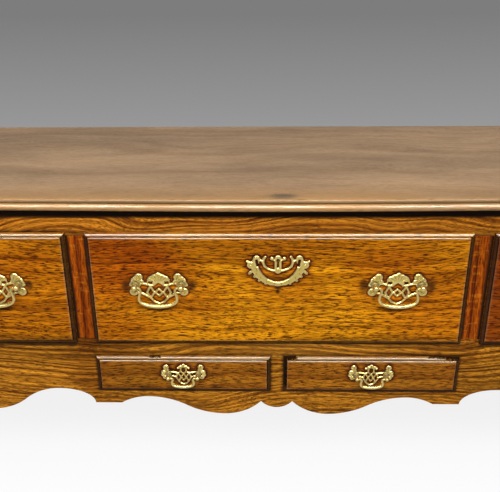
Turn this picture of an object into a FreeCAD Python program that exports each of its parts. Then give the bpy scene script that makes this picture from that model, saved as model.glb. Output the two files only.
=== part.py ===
"""Oak dresser base: a long low chest on cabriole front legs, with three drawers in a row and two small
drawers let into a shaped apron board.

Millimetres, +Z up, +X to the right as seen from the front, and the front faces -Y. The origin is on the
floor, in the middle of the outline. Left and right are as seen from the front.
"""

import FreeCAD, Part
import math
import os

from FreeCAD import Vector

# Carcase: driving sizes
HEIGHT = 830.0
TOP_THICKNESS = 22.0
TOP_OVERHANG_FRONT = 26.0
TOP_OVERHANG_END = 22.0
TOP_OVERHANG_BACK = 8.0
TOP_FRONT_BOARD = 300.0
TOP_STEP_DOWN = 6.0
TOP_STEP_INSET = 10.0
TOP_NOSE_RADIUS = 8.0
TOP_UNDER_RADIUS = 5.0
CENTRE_OPENING_WIDTH = 638.0
SIDE_OPENING_WIDTH = 518.0
OPENING_HEIGHT = 200.0
MUNTIN_WIDTH = 46.0
TOP_RAIL_HEIGHT = 51.0
FRAME_THICKNESS = 24.0
TENON_THICKNESS = 10.0
TENON_LENGTH = 30.0
TENON_SHOULDER = 8.0
MUNTIN_TENON_LENGTH = 20.0
SMALL_OPENING_WIDTH = 304.0
SMALL_OPENING_HEIGHT = 62.0
SMALL_MUNTIN_WIDTH = 36.0
MID_RAIL_HEIGHT = 41.0

# Apron outline: depths below the top of the apron board, and distances along the front
APRON_FLAT_DEPTH = 140.0
APRON_FLAT_OUTER = 3.0
APRON_FLAT_INNER = 52.0
PENDANT_HALF_WIDTH = 29.0
PENDANT_RISE = 13.5
CENTRE_CUSP_DEPTH = 135.0
CENTRE_LOBE_DEPTH = 163.5
CENTRE_LOBE_OFFSET = 96.0
CENTRE_CROWN_DEPTH = 125.5
CENTRE_CROWN_OFFSET = 240.0
SIDE_CUSP_DEPTH = 128.0
SIDE_LOBE_DEPTH = 155.0
SIDE_LOBE_OFFSET = 90.0
SIDE_CROWN_DEPTH = 108.0
SIDE_CROWN_OFFSET = 219.0

# Legs and the frames at the ends and the back
LEG_SQUARE = 54.0
KNEE_DEPTH = 100.0
FOOT_HEIGHT = 22.0
FOOT_RADIUS = 34.0
FOOT_SOLE_RADIUS = 26.0
FOOT_NECK_RADIUS = 22.0
FOOT_OUTWARD = 12.0
BACK_LEG_DEPTH = 48.0
END_RAIL_THICKNESS = 22.0
END_RAIL_INSET = 4.0
END_TOP_RAIL_HEIGHT = 60.0
END_BOTTOM_RAIL_HEIGHT = 130.0
END_ARCH_RISE = 30.0
END_ARCH_MARGIN = 40.0
END_TENON_LENGTH = 20.0
PANEL_THICKNESS = 9.0
PANEL_GROOVE = 8.0
BACK_RAIL_THICKNESS = 22.0
BACK_TOP_RAIL_HEIGHT = 54.0
BACK_BOARD_THICKNESS = 12.0
BACK_BOARD_COUNT = 3
BACK_BOARD_REBATE = 12.0

# Drawer supports
RUNNER_LEDGE = 20.0
RUNNER_HEIGHT = 28.0
GUIDE_HEIGHT = 30.0
KICKER_HEIGHT = 26.0
SMALL_KICKER_HEIGHT = 12.0

# Drawers
LIP_OVERLAP = 6.0
LIP_THICKNESS = 7.0
FIELD_RISE = 2.0
MOULDING_WIDTH = 6.0
OVOLO_RADIUS = 3.0
FRONT_BODY = 14.0
DRAWER_LENGTH = 410.0
DRAWER_BACK_CLEARANCE = 6.0
DRAWER_SIDE_CLEARANCE = 1.0
DRAWER_TOP_CLEARANCE = 3.0
FRONT_BOTTOM_CLEARANCE = 0.5
SIDE_THICKNESS = 11.0
BACK_THICKNESS = 12.0
BACK_DROP = 8.0
BOTTOM_THICKNESS = 8.0
BOTTOM_RAISE = 8.0
BOTTOM_GROOVE = 5.0
TAIL_LENGTH = 10.0
TAIL_SLOPE = 0.22
MAIN_TAILS = 4
SMALL_TAILS = 1

# Brass handles and escutcheons
PLATE_THICKNESS = 2.2
PIVOT_STANDOFF = 13.0
HANDLE_SPACING = 79.0
SMALL_HANDLE_SPACING = 53.0
CENTRE_HANDLE_OFFSET = 204.5
SIDE_HANDLE_OFFSET = 139.0
HANDLE_DROP = 92.0
SMALL_HANDLE_RAISE = 34.5
POST_HEAD_RADIUS = 5.5
SMALL_POST_HEAD_RADIUS = 3.8
POST_NECK_RADIUS = 3.2
POST_COLLAR_RADIUS = 5.0
POST_COLLAR_HEIGHT = 2.0
POST_STEM_RADIUS = 2.5
POST_HOLE_CLEARANCE = 0.1
NUT_WIDTH = 10.0
NUT_THICKNESS = 3.0
STEM_BEYOND_NUT = 2.0
BAIL_PIN_RADIUS = 1.9
BAIL_PIN_CLEARANCE = 0.05
BAIL_PIN_BEYOND = 4.0
BAIL_NECK_RADIUS = 2.2
BAIL_NECK_INSET = 3.2
BAIL_FLARE_INSET = 7.0
BAIL_PIN_LAP = 1.0
BAIL_BELLY_RADIUS = 3.8
SMALL_BAIL_BELLY_RADIUS = 3.0
BAIL_DROP = 35.0
SMALL_BAIL_DROP = 18.0
BAIL_SECTIONS = 25

# Locks
KEYHOLE_DROP = 47.0
ESCUTCHEON_DROP = 5.5
KEYHOLE_RADIUS = 2.7
KEYHOLE_SLOT_WIDTH = 3.6
KEYHOLE_SLOT_DROP = 13.0
LOCK_WIDTH = 64.0
LOCK_HEIGHT = 62.0
LOCK_THICKNESS = 9.0
LOCK_WALL = 2.0
BOLT_WIDTH = 22.0
BOLT_HEIGHT = 46.0
BOLT_THICKNESS = 5.0
BOLT_CLEARANCE = 0.3
BOLT_TRAVEL = 9.0
BOLT_MORTISE_SPARE = 2.0

# Levels and planes worked out from the driving sizes
HALF_CENTRE = CENTRE_OPENING_WIDTH / 2
MUNTIN_OUTER = HALF_CENTRE + MUNTIN_WIDTH
LEG_INNER = MUNTIN_OUTER + SIDE_OPENING_WIDTH
HALF_WIDTH = LEG_INNER + LEG_SQUARE
MUNTIN_CENTRE = HALF_CENTRE + MUNTIN_WIDTH / 2
SIDE_BAY_CENTRE = (MUNTIN_OUTER + LEG_INNER) / 2
FIELD_FRONT = LIP_THICKNESS + FIELD_RISE
FRONT_REACH = FIELD_FRONT + PLATE_THICKNESS + PIVOT_STANDOFF + POST_HEAD_RADIUS
CARCASE_DEPTH = DRAWER_LENGTH + DRAWER_BACK_CLEARANCE + BACK_RAIL_THICKNESS + BACK_BOARD_THICKNESS
FRONT = -(CARCASE_DEPTH + TOP_OVERHANG_BACK - FRONT_REACH) / 2
BACK = FRONT + CARCASE_DEPTH
FRAME_BACK = FRONT + FRAME_THICKNESS
FRONT_LEG_BACK = FRONT + LEG_SQUARE
BACK_LEG_FRONT = BACK - BACK_LEG_DEPTH
BACK_RAIL_BACK = BACK - BACK_BOARD_THICKNESS
BACK_RAIL_FRONT = BACK_RAIL_BACK - BACK_RAIL_THICKNESS
UNDER_TOP = HEIGHT - TOP_THICKNESS
OPENING_TOP = UNDER_TOP - TOP_RAIL_HEIGHT
APRON_TOP = OPENING_TOP - OPENING_HEIGHT
SMALL_TOP = APRON_TOP - MID_RAIL_HEIGHT
SMALL_FLOOR = SMALL_TOP - SMALL_OPENING_HEIGHT
SMALL_INNER = SMALL_MUNTIN_WIDTH / 2
SMALL_OUTER = SMALL_INNER + SMALL_OPENING_WIDTH
KNEE_TOP = APRON_TOP - KNEE_DEPTH
TENON_FRONT = FRONT + (FRAME_THICKNESS - TENON_THICKNESS) / 2
END_RAIL_OUTER = HALF_WIDTH - END_RAIL_INSET
END_RAIL_INNER = END_RAIL_OUTER - END_RAIL_THICKNESS
END_BOTTOM_RAIL_TOP = APRON_TOP
END_BOTTOM_RAIL_BOTTOM = END_BOTTOM_RAIL_TOP - END_BOTTOM_RAIL_HEIGHT
PANEL_INNER = END_RAIL_INNER + (END_RAIL_THICKNESS - PANEL_THICKNESS) / 2
BACK_RAIL_BOTTOM = SMALL_FLOOR - RUNNER_HEIGHT
HANDLE_LEVEL = OPENING_TOP - HANDLE_DROP + LIP_OVERLAP
SMALL_HANDLE_LEVEL = SMALL_FLOOR + SMALL_HANDLE_RAISE
KEYHOLE_LEVEL = OPENING_TOP - KEYHOLE_DROP + LIP_OVERLAP


# Small helpers

def block(x, y, z):
    """A box between the low and high values of x, y and z."""
    size = (x[1] - x[0], y[1] - y[0], z[1] - z[0])
    return Part.makeBox(*size, Vector(x[0], y[0], z[0]))


def mirrored(shape):
    """The same shape on the other side of the middle plane."""
    return shape.mirror(Vector(0, 0, 0), Vector(1, 0, 0))


def both_sides(shape):
    """A right-hand shape and its left-hand twin."""
    return [shape, mirrored(shape)]


def moved(shape, x=0.0, y=0.0, z=0.0):
    """A copy of the shape, shifted."""
    copy = shape.copy()
    copy.translate(Vector(x, y, z))
    return copy


def fused(shapes):
    """The shapes joined into one solid, with the seams between flush faces removed."""
    first, *rest = shapes
    return first.multiFuse(rest).removeSplitter()


def write(node, shapes):
    """Writes one node: a single solid, or a group of separate solids."""
    solids = shapes if isinstance(shapes, list) else [shapes]
    Part.makeCompound(solids).exportStep(os.path.join("parts", node + ".step"))


def edges_on(shape, test):
    """The edges of a shape whose two ends both pass the test."""
    return [e for e in shape.Edges if all(test(v.Point) for v in e.Vertexes)]


def near(a, b):
    """True where two lengths agree to a thousandth of a millimetre."""
    return abs(a - b) < 1e-3


def side_plate(outline, x0, thickness):
    """A plate standing in the YZ plane: the outline's (y, z) points, extruded along X."""
    points = [Vector(x0, y, z) for y, z in outline]
    face = Part.Face(Part.makePolygon(points + points[:1]))
    return face.extrude(Vector(thickness, 0, 0))


# Top: two boards edge to edge, with a stepped thumb moulding along the front and both ends

def top_boards():
    half = HALF_WIDTH + TOP_OVERHANG_END
    front = FRONT - TOP_OVERHANG_FRONT
    back = BACK + TOP_OVERHANG_BACK
    shoulder = HEIGHT - TOP_STEP_DOWN
    slab = block((-half, half), (front, back), (UNDER_TOP, shoulder))

    def on_moulded_side(p):
        return near(p.y, front) or near(abs(p.x), half)

    def moulded_edges(shape, level):
        found = edges_on(shape, lambda p: near(p.z, level) and on_moulded_side(p))
        return [e for e in found if not all(near(v.Point.y, back) for v in e.Vertexes)]

    slab = slab.makeFillet(TOP_NOSE_RADIUS, moulded_edges(slab, shoulder))
    slab = slab.makeFillet(TOP_UNDER_RADIUS, moulded_edges(slab, UNDER_TOP))
    inner = half - TOP_STEP_INSET
    table = block((-inner, inner), (front + TOP_STEP_INSET, back), (shoulder, HEIGHT))
    whole = fused([slab, table])
    joint = front + TOP_FRONT_BOARD
    level = (UNDER_TOP, HEIGHT)
    front_board = whole.common(block((-half, half), (front, joint), level))
    back_board = whole.common(block((-half, half), (joint, back), level))
    return [front_board, back_board]


# Front frame: top rail, two muntins and the apron board, tenoned together and into the legs

def frame_tenon(x, z):
    """A tenon or mortise of the front frame, in the middle of its thickness."""
    return block(x, (TENON_FRONT, TENON_FRONT + TENON_THICKNESS), z)


def rail_tenon():
    level = (OPENING_TOP + TENON_SHOULDER, UNDER_TOP - TENON_SHOULDER)
    return frame_tenon((LEG_INNER, LEG_INNER + TENON_LENGTH), level)


def apron_tenon():
    level = (APRON_TOP - SIDE_CROWN_DEPTH + TENON_SHOULDER, APRON_TOP - TENON_SHOULDER)
    return frame_tenon((LEG_INNER, LEG_INNER + TENON_LENGTH), level)


def muntin_tenons():
    x = (HALF_CENTRE + TENON_SHOULDER, MUNTIN_OUTER - TENON_SHOULDER)
    upper = frame_tenon(x, (OPENING_TOP, OPENING_TOP + MUNTIN_TENON_LENGTH))
    lower = frame_tenon(x, (APRON_TOP - MUNTIN_TENON_LENGTH, APRON_TOP))
    return upper, lower


def bolt_mortise(x):
    """The slot in the underside of the top rail that a lock's bolt shoots into."""
    half = BOLT_WIDTH / 2 + BOLT_MORTISE_SPARE
    depth = BOLT_TRAVEL + BOLT_MORTISE_SPARE
    y = (FRONT + FRONT_BODY - LOCK_THICKNESS, FRONT + FRONT_BODY)
    return block((x - half, x + half), y, (OPENING_TOP, OPENING_TOP + depth))


def front_top_rail():
    rail = block((-LEG_INNER, LEG_INNER), (FRONT, FRAME_BACK), (OPENING_TOP, UNDER_TOP))
    rail = fused([rail] + both_sides(rail_tenon()))
    upper, _ = muntin_tenons()
    cuts = both_sides(upper) + [bolt_mortise(x) for x in (-SIDE_BAY_CENTRE, 0, SIDE_BAY_CENTRE)]
    return rail.cut(Part.makeCompound(cuts))


def drawer_muntins():
    stile = block((HALF_CENTRE, MUNTIN_OUTER), (FRONT, FRAME_BACK), (APRON_TOP, OPENING_TOP))
    return both_sides(fused([stile, *muntin_tenons()]))


def apron_point(x, depth):
    return Vector(x, FRONT, APRON_TOP - depth)


def level_arc(flat_end, other):
    """An arc that is level at flat_end and runs to the other point."""
    run, rise = other.x - flat_end.x, other.z - flat_end.z
    radius = (run * run + rise * rise) / (2 * abs(rise))
    half_turn = math.atan2(abs(rise), abs(run))
    along = math.copysign(radius * math.sin(half_turn), run)
    up = math.copysign(radius * (1 - math.cos(half_turn)), rise)
    middle = Vector(flat_end.x + along, FRONT, flat_end.z + up)
    return Part.Arc(flat_end, middle, other).toShape()


def ogee(start, end):
    """Two equal arcs, level at both ends, that meet halfway."""
    middle = (start + end) / 2
    return [level_arc(start, middle), level_arc(end, middle)]


def quarter_oval(crown, foot):
    """A quarter of an ellipse, level at the crown and upright at the foot."""
    centre = Vector(crown.x, FRONT, foot.z)
    far, close = sorted((crown, foot), key=centre.distanceToPoint, reverse=True)
    oval = Part.Ellipse(far, close, centre)
    return Part.ArcOfEllipse(oval, 0, math.pi / 2).toShape()


def apron_edge():
    """The lower edge of the right half of the apron, from the middle pendant to the leg."""
    flat_start = apron_point(MUNTIN_CENTRE - APRON_FLAT_INNER, APRON_FLAT_DEPTH)
    flat_end = apron_point(MUNTIN_CENTRE - APRON_FLAT_OUTER, APRON_FLAT_DEPTH)
    cusp = apron_point(PENDANT_HALF_WIDTH, CENTRE_CUSP_DEPTH)
    drop = apron_point(0, CENTRE_CUSP_DEPTH + PENDANT_RISE)
    lobe = apron_point(CENTRE_LOBE_OFFSET, CENTRE_LOBE_DEPTH)
    crown = apron_point(CENTRE_CROWN_OFFSET, CENTRE_CROWN_DEPTH)
    edges = [level_arc(drop, cusp), level_arc(lobe, cusp), *ogee(lobe, crown)]
    edges += [level_arc(crown, flat_start), Part.LineSegment(flat_start, flat_end).toShape()]

    def bay(offset, depth):
        return apron_point(SIDE_BAY_CENTRE + offset, depth)

    crowns = [bay(s * SIDE_CROWN_OFFSET, SIDE_CROWN_DEPTH) for s in (-1, 1)]
    lobes = [bay(s * SIDE_LOBE_OFFSET, SIDE_LOBE_DEPTH) for s in (-1, 1)]
    cusps = [bay(s * PENDANT_HALF_WIDTH, SIDE_CUSP_DEPTH) for s in (-1, 1)]
    side_drop = bay(0, SIDE_CUSP_DEPTH + PENDANT_RISE)
    edges.append(quarter_oval(crowns[0], flat_end))
    edges += ogee(crowns[0], lobes[0])
    edges += [level_arc(lobes[0], cusps[0]), level_arc(side_drop, cusps[0])]
    edges += [level_arc(side_drop, cusps[1]), level_arc(lobes[1], cusps[1])]
    edges += ogee(lobes[1], crowns[1])
    edges.append(quarter_oval(crowns[1], apron_point(LEG_INNER, APRON_FLAT_DEPTH)))
    return edges


def small_opening():
    """The right-hand cut-out for a small drawer, through the apron board."""
    x = (SMALL_INNER, SMALL_OUTER)
    return block(x, (FRONT, FRAME_BACK), (SMALL_FLOOR, SMALL_TOP))


def front_apron():
    edge = apron_edge()
    top_middle = apron_point(0, 0)
    top_end = apron_point(LEG_INNER, 0)
    low_end = apron_point(LEG_INNER, APRON_FLAT_DEPTH)
    low_middle = apron_point(0, CENTRE_CUSP_DEPTH + PENDANT_RISE)
    straight = [(low_middle, top_middle), (top_middle, top_end), (top_end, low_end)]
    edge += [Part.LineSegment(a, b).toShape() for a, b in straight]
    outline = Part.Wire(Part.__sortEdges__(edge))
    right = Part.Face(outline).extrude(Vector(0, FRAME_THICKNESS, 0))
    board = fused(both_sides(right) + both_sides(apron_tenon()))
    _, lower = muntin_tenons()
    return board.cut(Part.makeCompound(both_sides(small_opening()) + both_sides(lower)))


# Legs: the front pair are posts that run down into cabriole legs, and the back pair are square

def rounded_square(centre, half, radius):
    """A level square wire with rounded corners."""
    corner = radius * (1 - math.sqrt(0.5))
    inner = half - radius
    edges = []
    for k in range(4):
        turn = FreeCAD.Rotation(Vector(0, 0, 1), 90 * k)
        start = centre + turn.multVec(Vector(-inner, -half, 0))
        end = centre + turn.multVec(Vector(inner, -half, 0))
        bulge = centre + turn.multVec(Vector(half - corner, -half + corner, 0))
        after = centre + turn.multVec(Vector(half, -inner, 0))
        edges += [Part.LineSegment(start, end).toShape(), Part.Arc(end, bulge, after).toShape()]
    return Part.Wire(edges)


# Each station: share of the way from foot to knee top, outward lean, half width, corner roundness
CABRIOLE_STATIONS = (
    (0.00, 9.0, 20.0, 0.90),
    (0.08, 4.0, 16.0, 0.85),
    (0.18, -2.0, 14.5, 0.80),
    (0.32, -4.0, 15.5, 0.70),
    (0.48, -1.0, 18.0, 0.60),
    (0.64, 5.0, 21.5, 0.50),
    (0.78, 11.0, 25.5, 0.40),
    (0.89, 13.0, 28.5, 0.30),
    (0.96, 8.0, 28.5, 0.18),
    (1.00, 0.0, 27.0, 0.04),
)


def pad_foot(centre):
    """A turned pad: a flat sole, a rounded rim and a shoulder that meets the ankle."""
    sole = centre + Vector(FOOT_SOLE_RADIUS, 0, 0)
    rim = centre + Vector(FOOT_RADIUS, 0, FOOT_HEIGHT * 0.4)
    shoulder = centre + Vector(FOOT_NECK_RADIUS, 0, FOOT_HEIGHT)
    axis_top = centre + Vector(0, 0, FOOT_HEIGHT)
    edges = [Part.LineSegment(centre, sole).toShape(), Part.Arc(sole, rim, shoulder).toShape()]
    edges += [Part.LineSegment(shoulder, axis_top).toShape()]
    edges += [Part.LineSegment(axis_top, centre).toShape()]
    return Part.Face(Part.Wire(edges)).revolve(centre, Vector(0, 0, 1), 360)


def end_rail_levels():
    """Bottom and top of the two rails at each end of the carcase."""
    upper = (UNDER_TOP - END_TOP_RAIL_HEIGHT, UNDER_TOP)
    return upper, (END_BOTTOM_RAIL_BOTTOM, END_BOTTOM_RAIL_TOP)


def end_tenons():
    """The right-hand end rails' tenons into the front leg and into the back leg."""
    x = (PANEL_INNER, PANEL_INNER + PANEL_THICKNESS)
    front_y = (FRONT_LEG_BACK - END_TENON_LENGTH, FRONT_LEG_BACK)
    back_y = (BACK_LEG_FRONT, BACK_LEG_FRONT + END_TENON_LENGTH)
    upper, lower = end_rail_levels()
    levels = [(upper[0] + TENON_SHOULDER, upper[1] - TENON_SHOULDER)]
    levels += [(lower[0] + END_ARCH_RISE + TENON_SHOULDER, lower[1] - TENON_SHOULDER)]
    return [[block(x, y, z) for z in levels] for y in (front_y, back_y)]


def end_panel():
    """The right-hand end panel, let into grooves in the legs and the end rails."""
    upper, lower = end_rail_levels()
    y = (FRONT_LEG_BACK - PANEL_GROOVE, BACK_LEG_FRONT + PANEL_GROOVE)
    z = (lower[1] - PANEL_GROOVE, upper[0] + PANEL_GROOVE)
    return block((PANEL_INNER, PANEL_INNER + PANEL_THICKNESS), y, z)


def front_leg():
    """The right-hand front leg, in one piece from foot to top."""
    middle = Vector(LEG_INNER + LEG_SQUARE / 2, FRONT + LEG_SQUARE / 2, 0)
    sections = []
    for share, lean, half, roundness in CABRIOLE_STATIONS:
        level = FOOT_HEIGHT + share * (KNEE_TOP - FOOT_HEIGHT)
        centre = middle + Vector(lean, -lean, level)
        grown = half * LEG_SQUARE / (2 * CABRIOLE_STATIONS[-1][2])
        sections.append(rounded_square(centre, grown, grown * roundness))
    leg = Part.makeLoft(sections, True, False)
    foot = pad_foot(middle + Vector(FOOT_OUTWARD, -FOOT_OUTWARD, 0))
    post = block((LEG_INNER, HALF_WIDTH), (FRONT, FRONT_LEG_BACK), (KNEE_TOP, UNDER_TOP))
    whole = fused([post, leg, foot])
    front_side, _ = end_tenons()
    return whole.cut(Part.makeCompound([rail_tenon(), apron_tenon(), *front_side, end_panel()]))


def back_rail_levels():
    """Bottom and top of the upper and the lower back rail."""
    return (UNDER_TOP - BACK_TOP_RAIL_HEIGHT, UNDER_TOP), (BACK_RAIL_BOTTOM, APRON_TOP)


def back_tenons():
    """The back rails' tenons into the right-hand back leg."""
    middle = (BACK_RAIL_FRONT + BACK_RAIL_BACK) / 2
    y = (middle - TENON_THICKNESS / 2, middle + TENON_THICKNESS / 2)
    x = (LEG_INNER, LEG_INNER + END_TENON_LENGTH)
    return [block(x, y, (z[0] + TENON_SHOULDER, z[1] - TENON_SHOULDER)) for z in back_rail_levels()]


def back_board_rebate():
    """The step in the right-hand back leg that the back boards lie in."""
    x = (LEG_INNER, LEG_INNER + BACK_BOARD_REBATE)
    return block(x, (BACK_RAIL_BACK, BACK), (BACK_RAIL_BOTTOM, UNDER_TOP))


def back_leg():
    """The right-hand back leg: a square post from floor to top."""
    post = block((LEG_INNER, HALF_WIDTH), (BACK_LEG_FRONT, BACK), (0, UNDER_TOP))
    _, back_side = end_tenons()
    cuts = [*back_side, *back_tenons(), end_panel(), back_board_rebate()]
    return post.cut(Part.makeCompound(cuts))


# Ends and back: rails and panels

def end_rails():
    """The right-hand end rails: a plain one above the panel and an arched one below it."""
    upper, lower = end_rail_levels()
    y = (FRONT_LEG_BACK, BACK_LEG_FRONT)
    x = (END_RAIL_INNER, END_RAIL_OUTER)
    arch_ends = (y[0] + END_ARCH_MARGIN, y[1] - END_ARCH_MARGIN)
    arch_top = Vector(x[0], sum(arch_ends) / 2, lower[0] + END_ARCH_RISE)
    springs = [Vector(x[0], a, lower[0]) for a in arch_ends]
    arch = Part.Wire([Part.Arc(springs[0], arch_top, springs[1]).toShape(),
                      Part.LineSegment(springs[1], springs[0]).toShape()])
    hollow = Part.Face(arch).extrude(Vector(END_RAIL_THICKNESS, 0, 0))
    front_side, back_side = end_tenons()
    rails = []
    for k, level in enumerate((upper, lower)):
        rail = fused([block(x, y, level), front_side[k], back_side[k]])
        rails.append(rail.cut(end_panel()).cut(hollow))
    return rails


def back_rails():
    y = (BACK_RAIL_FRONT, BACK_RAIL_BACK)
    rails = []
    for level, tenon in zip(back_rail_levels(), back_tenons()):
        rails.append(fused([block((-LEG_INNER, LEG_INNER), y, level)] + both_sides(tenon)))
    return rails


def back_boards():
    """Wide boards, one above the other, that close the back."""
    reach = LEG_INNER + BACK_BOARD_REBATE
    height = (UNDER_TOP - BACK_RAIL_BOTTOM) / BACK_BOARD_COUNT
    boards = []
    for k in range(BACK_BOARD_COUNT):
        bottom = BACK_RAIL_BOTTOM + k * height
        boards.append(block((-reach, reach), (BACK_RAIL_BACK, BACK), (bottom, bottom + height)))
    return boards


# Drawer supports: runners below, guides beside and kickers above, from the front frame to the back

def lengthwise(x, z):
    """A strip from the front frame's back to the back rails."""
    return block(x, (FRAME_BACK, BACK_RAIL_FRONT), z)


def drawer_runners():
    main = (APRON_TOP - RUNNER_HEIGHT, APRON_TOP)
    small = (SMALL_FLOOR - RUNNER_HEIGHT, SMALL_FLOOR)
    at_muntin = lengthwise((HALF_CENTRE - RUNNER_LEDGE, MUNTIN_OUTER + RUNNER_LEDGE), main)
    at_leg = lengthwise((LEG_INNER - RUNNER_LEDGE, LEG_INNER), main)
    small_outer = lengthwise((SMALL_OUTER - RUNNER_LEDGE, SMALL_OUTER + RUNNER_LEDGE), small)
    small_middle = lengthwise((-SMALL_INNER - RUNNER_LEDGE, SMALL_INNER + RUNNER_LEDGE), small)
    return both_sides(at_muntin) + both_sides(at_leg) + both_sides(small_outer) + [small_middle]


def drawer_guides():
    main = (APRON_TOP, APRON_TOP + GUIDE_HEIGHT)
    small = (SMALL_FLOOR, SMALL_FLOOR + GUIDE_HEIGHT)
    at_muntin = lengthwise((HALF_CENTRE, MUNTIN_OUTER), main)
    at_leg = block((LEG_INNER, END_RAIL_INNER), (FRONT_LEG_BACK, BACK_LEG_FRONT),
                   (APRON_TOP - RUNNER_HEIGHT, APRON_TOP + GUIDE_HEIGHT))
    small_outer = lengthwise((SMALL_OUTER, SMALL_OUTER + RUNNER_LEDGE), small)
    small_middle = lengthwise((-SMALL_INNER, SMALL_INNER), small)
    return both_sides(at_muntin) + both_sides(at_leg) + both_sides(small_outer) + [small_middle]


def drawer_kickers():
    main = (OPENING_TOP, OPENING_TOP + KICKER_HEIGHT)
    small = (SMALL_TOP, SMALL_TOP + SMALL_KICKER_HEIGHT)
    at_muntin = lengthwise((HALF_CENTRE - RUNNER_LEDGE, MUNTIN_OUTER + RUNNER_LEDGE), main)
    at_leg = lengthwise((LEG_INNER - RUNNER_LEDGE, LEG_INNER), main)
    small_outer = lengthwise((SMALL_OUTER - RUNNER_LEDGE, SMALL_OUTER + RUNNER_LEDGE), small)
    small_middle = lengthwise((-SMALL_INNER - RUNNER_LEDGE, SMALL_INNER + RUNNER_LEDGE), small)
    return both_sides(at_muntin) + both_sides(at_leg) + both_sides(small_outer) + [small_middle]


# Drawers: a lipped front with a moulded edge, dovetailed to two sides, with a back and a bottom

class Bay:
    """One drawer opening: its width in X, its floor and top, and how many dovetails it takes."""

    def __init__(self, x, floor, top, tails):
        self.x = x
        self.floor = floor
        self.top = top
        self.tails = tails
        self.left = x[0] + DRAWER_SIDE_CLEARANCE
        self.right = x[1] - DRAWER_SIDE_CLEARANCE
        self.side_top = top - DRAWER_TOP_CLEARANCE
        self.middle = (x[0] + x[1]) / 2


def tails(bay):
    """The dovetails at the front of a drawer side, as (y, z) outlines, wide at the front end."""
    inner = FRONT + FRONT_BODY
    tip = inner - TAIL_LENGTH
    pitch = (bay.side_top - bay.floor) / bay.tails
    flare = TAIL_LENGTH * TAIL_SLOPE
    outlines = []
    for k in range(bay.tails):
        middle = bay.floor + pitch * (k + 0.5)
        root = pitch * 0.3
        outlines.append([(inner, middle - root), (inner, middle + root),
                         (tip, middle + root + flare), (tip, middle - root - flare)])
    return outlines


def tail_solids(bay, x0):
    return [side_plate(outline, x0, SIDE_THICKNESS) for outline in tails(bay)]


def bottom_level(bay):
    low = bay.floor + BOTTOM_RAISE
    return (low, low + BOTTOM_THICKNESS)


def drawer_bottom(bay):
    x = (bay.left + SIDE_THICKNESS - BOTTOM_GROOVE, bay.right - SIDE_THICKNESS + BOTTOM_GROOVE)
    y = (FRONT + FRONT_BODY - BOTTOM_GROOVE, FRONT + DRAWER_LENGTH)
    return block(x, y, bottom_level(bay))


def drawer_sides(bay):
    sides = []
    for x0 in (bay.left, bay.right - SIDE_THICKNESS):
        y = (FRONT + FRONT_BODY, FRONT + DRAWER_LENGTH)
        board = block((x0, x0 + SIDE_THICKNESS), y, (bay.floor, bay.side_top))
        sides.append(fused([board] + tail_solids(bay, x0)).cut(drawer_bottom(bay)))
    return sides


def drawer_back(bay):
    end = FRONT + DRAWER_LENGTH
    x = (bay.left + SIDE_THICKNESS, bay.right - SIDE_THICKNESS)
    return block(x, (end - BACK_THICKNESS, end), (bottom_level(bay)[1], bay.side_top - BACK_DROP))


def lipped_front(bay):
    """The moulded front: an overlapping lip with an ovolo edge, a raised field and the body behind."""
    x = (bay.x[0] - LIP_OVERLAP, bay.x[1] + LIP_OVERLAP)
    z = (bay.floor - LIP_OVERLAP, bay.top + LIP_OVERLAP)
    face = FRONT - LIP_THICKNESS
    lip = block(x, (face, FRONT), z)
    lip = lip.makeFillet(OVOLO_RADIUS, edges_on(lip, lambda p: near(p.y, face)))
    field = block((x[0] + MOULDING_WIDTH, x[1] - MOULDING_WIDTH), (face - FIELD_RISE, face),
                  (z[0] + MOULDING_WIDTH, z[1] - MOULDING_WIDTH))
    body = block((bay.left, bay.right), (FRONT, FRONT + FRONT_BODY),
                 (bay.floor + FRONT_BOTTOM_CLEARANCE, bay.top - DRAWER_SIDE_CLEARANCE))
    return fused([lip, field, body])


def front_to_back_pin(x, z, radius):
    """A cylinder along Y that passes right through a drawer front."""
    start = Vector(x, FRONT - FIELD_FRONT - PLATE_THICKNESS, z)
    length = FIELD_FRONT + PLATE_THICKNESS + FRONT_BODY
    return Part.makeCylinder(radius, length, start, Vector(0, 1, 0))


def keyhole(x):
    """A round hole with a slot below it, along Y, for the key."""
    hole = front_to_back_pin(x, KEYHOLE_LEVEL, KEYHOLE_RADIUS)
    half = KEYHOLE_SLOT_WIDTH / 2
    y = (FRONT - FIELD_FRONT - PLATE_THICKNESS, FRONT + FRONT_BODY)
    slot = block((x - half, x + half), y, (KEYHOLE_LEVEL - KEYHOLE_SLOT_DROP, KEYHOLE_LEVEL))
    return fused([hole, slot])


def lock_pocket(bay):
    """The recess in the back of a drawer front that the lock is let into, open at the top."""
    half = LOCK_WIDTH / 2
    y = (FRONT + FRONT_BODY - LOCK_THICKNESS, FRONT + FRONT_BODY)
    top = bay.top - DRAWER_SIDE_CLEARANCE
    return block((bay.middle - half, bay.middle + half), y, (top - LOCK_HEIGHT, top))


def drawer_front(bay, handle_x, level, spacing, locked):
    front = lipped_front(bay)
    cuts = tail_solids(bay, bay.left) + tail_solids(bay, bay.right - SIDE_THICKNESS)
    cuts.append(drawer_bottom(bay))
    radius = POST_STEM_RADIUS + POST_HOLE_CLEARANCE
    for x in post_places(handle_x, spacing):
        cuts.append(front_to_back_pin(x, level, radius))
    if locked:
        cuts += [keyhole(bay.middle), lock_pocket(bay)]
    return front.cut(Part.makeCompound(cuts))


# Locks: a case let into the back of the front, and a bolt that shoots up into the top rail

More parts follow.
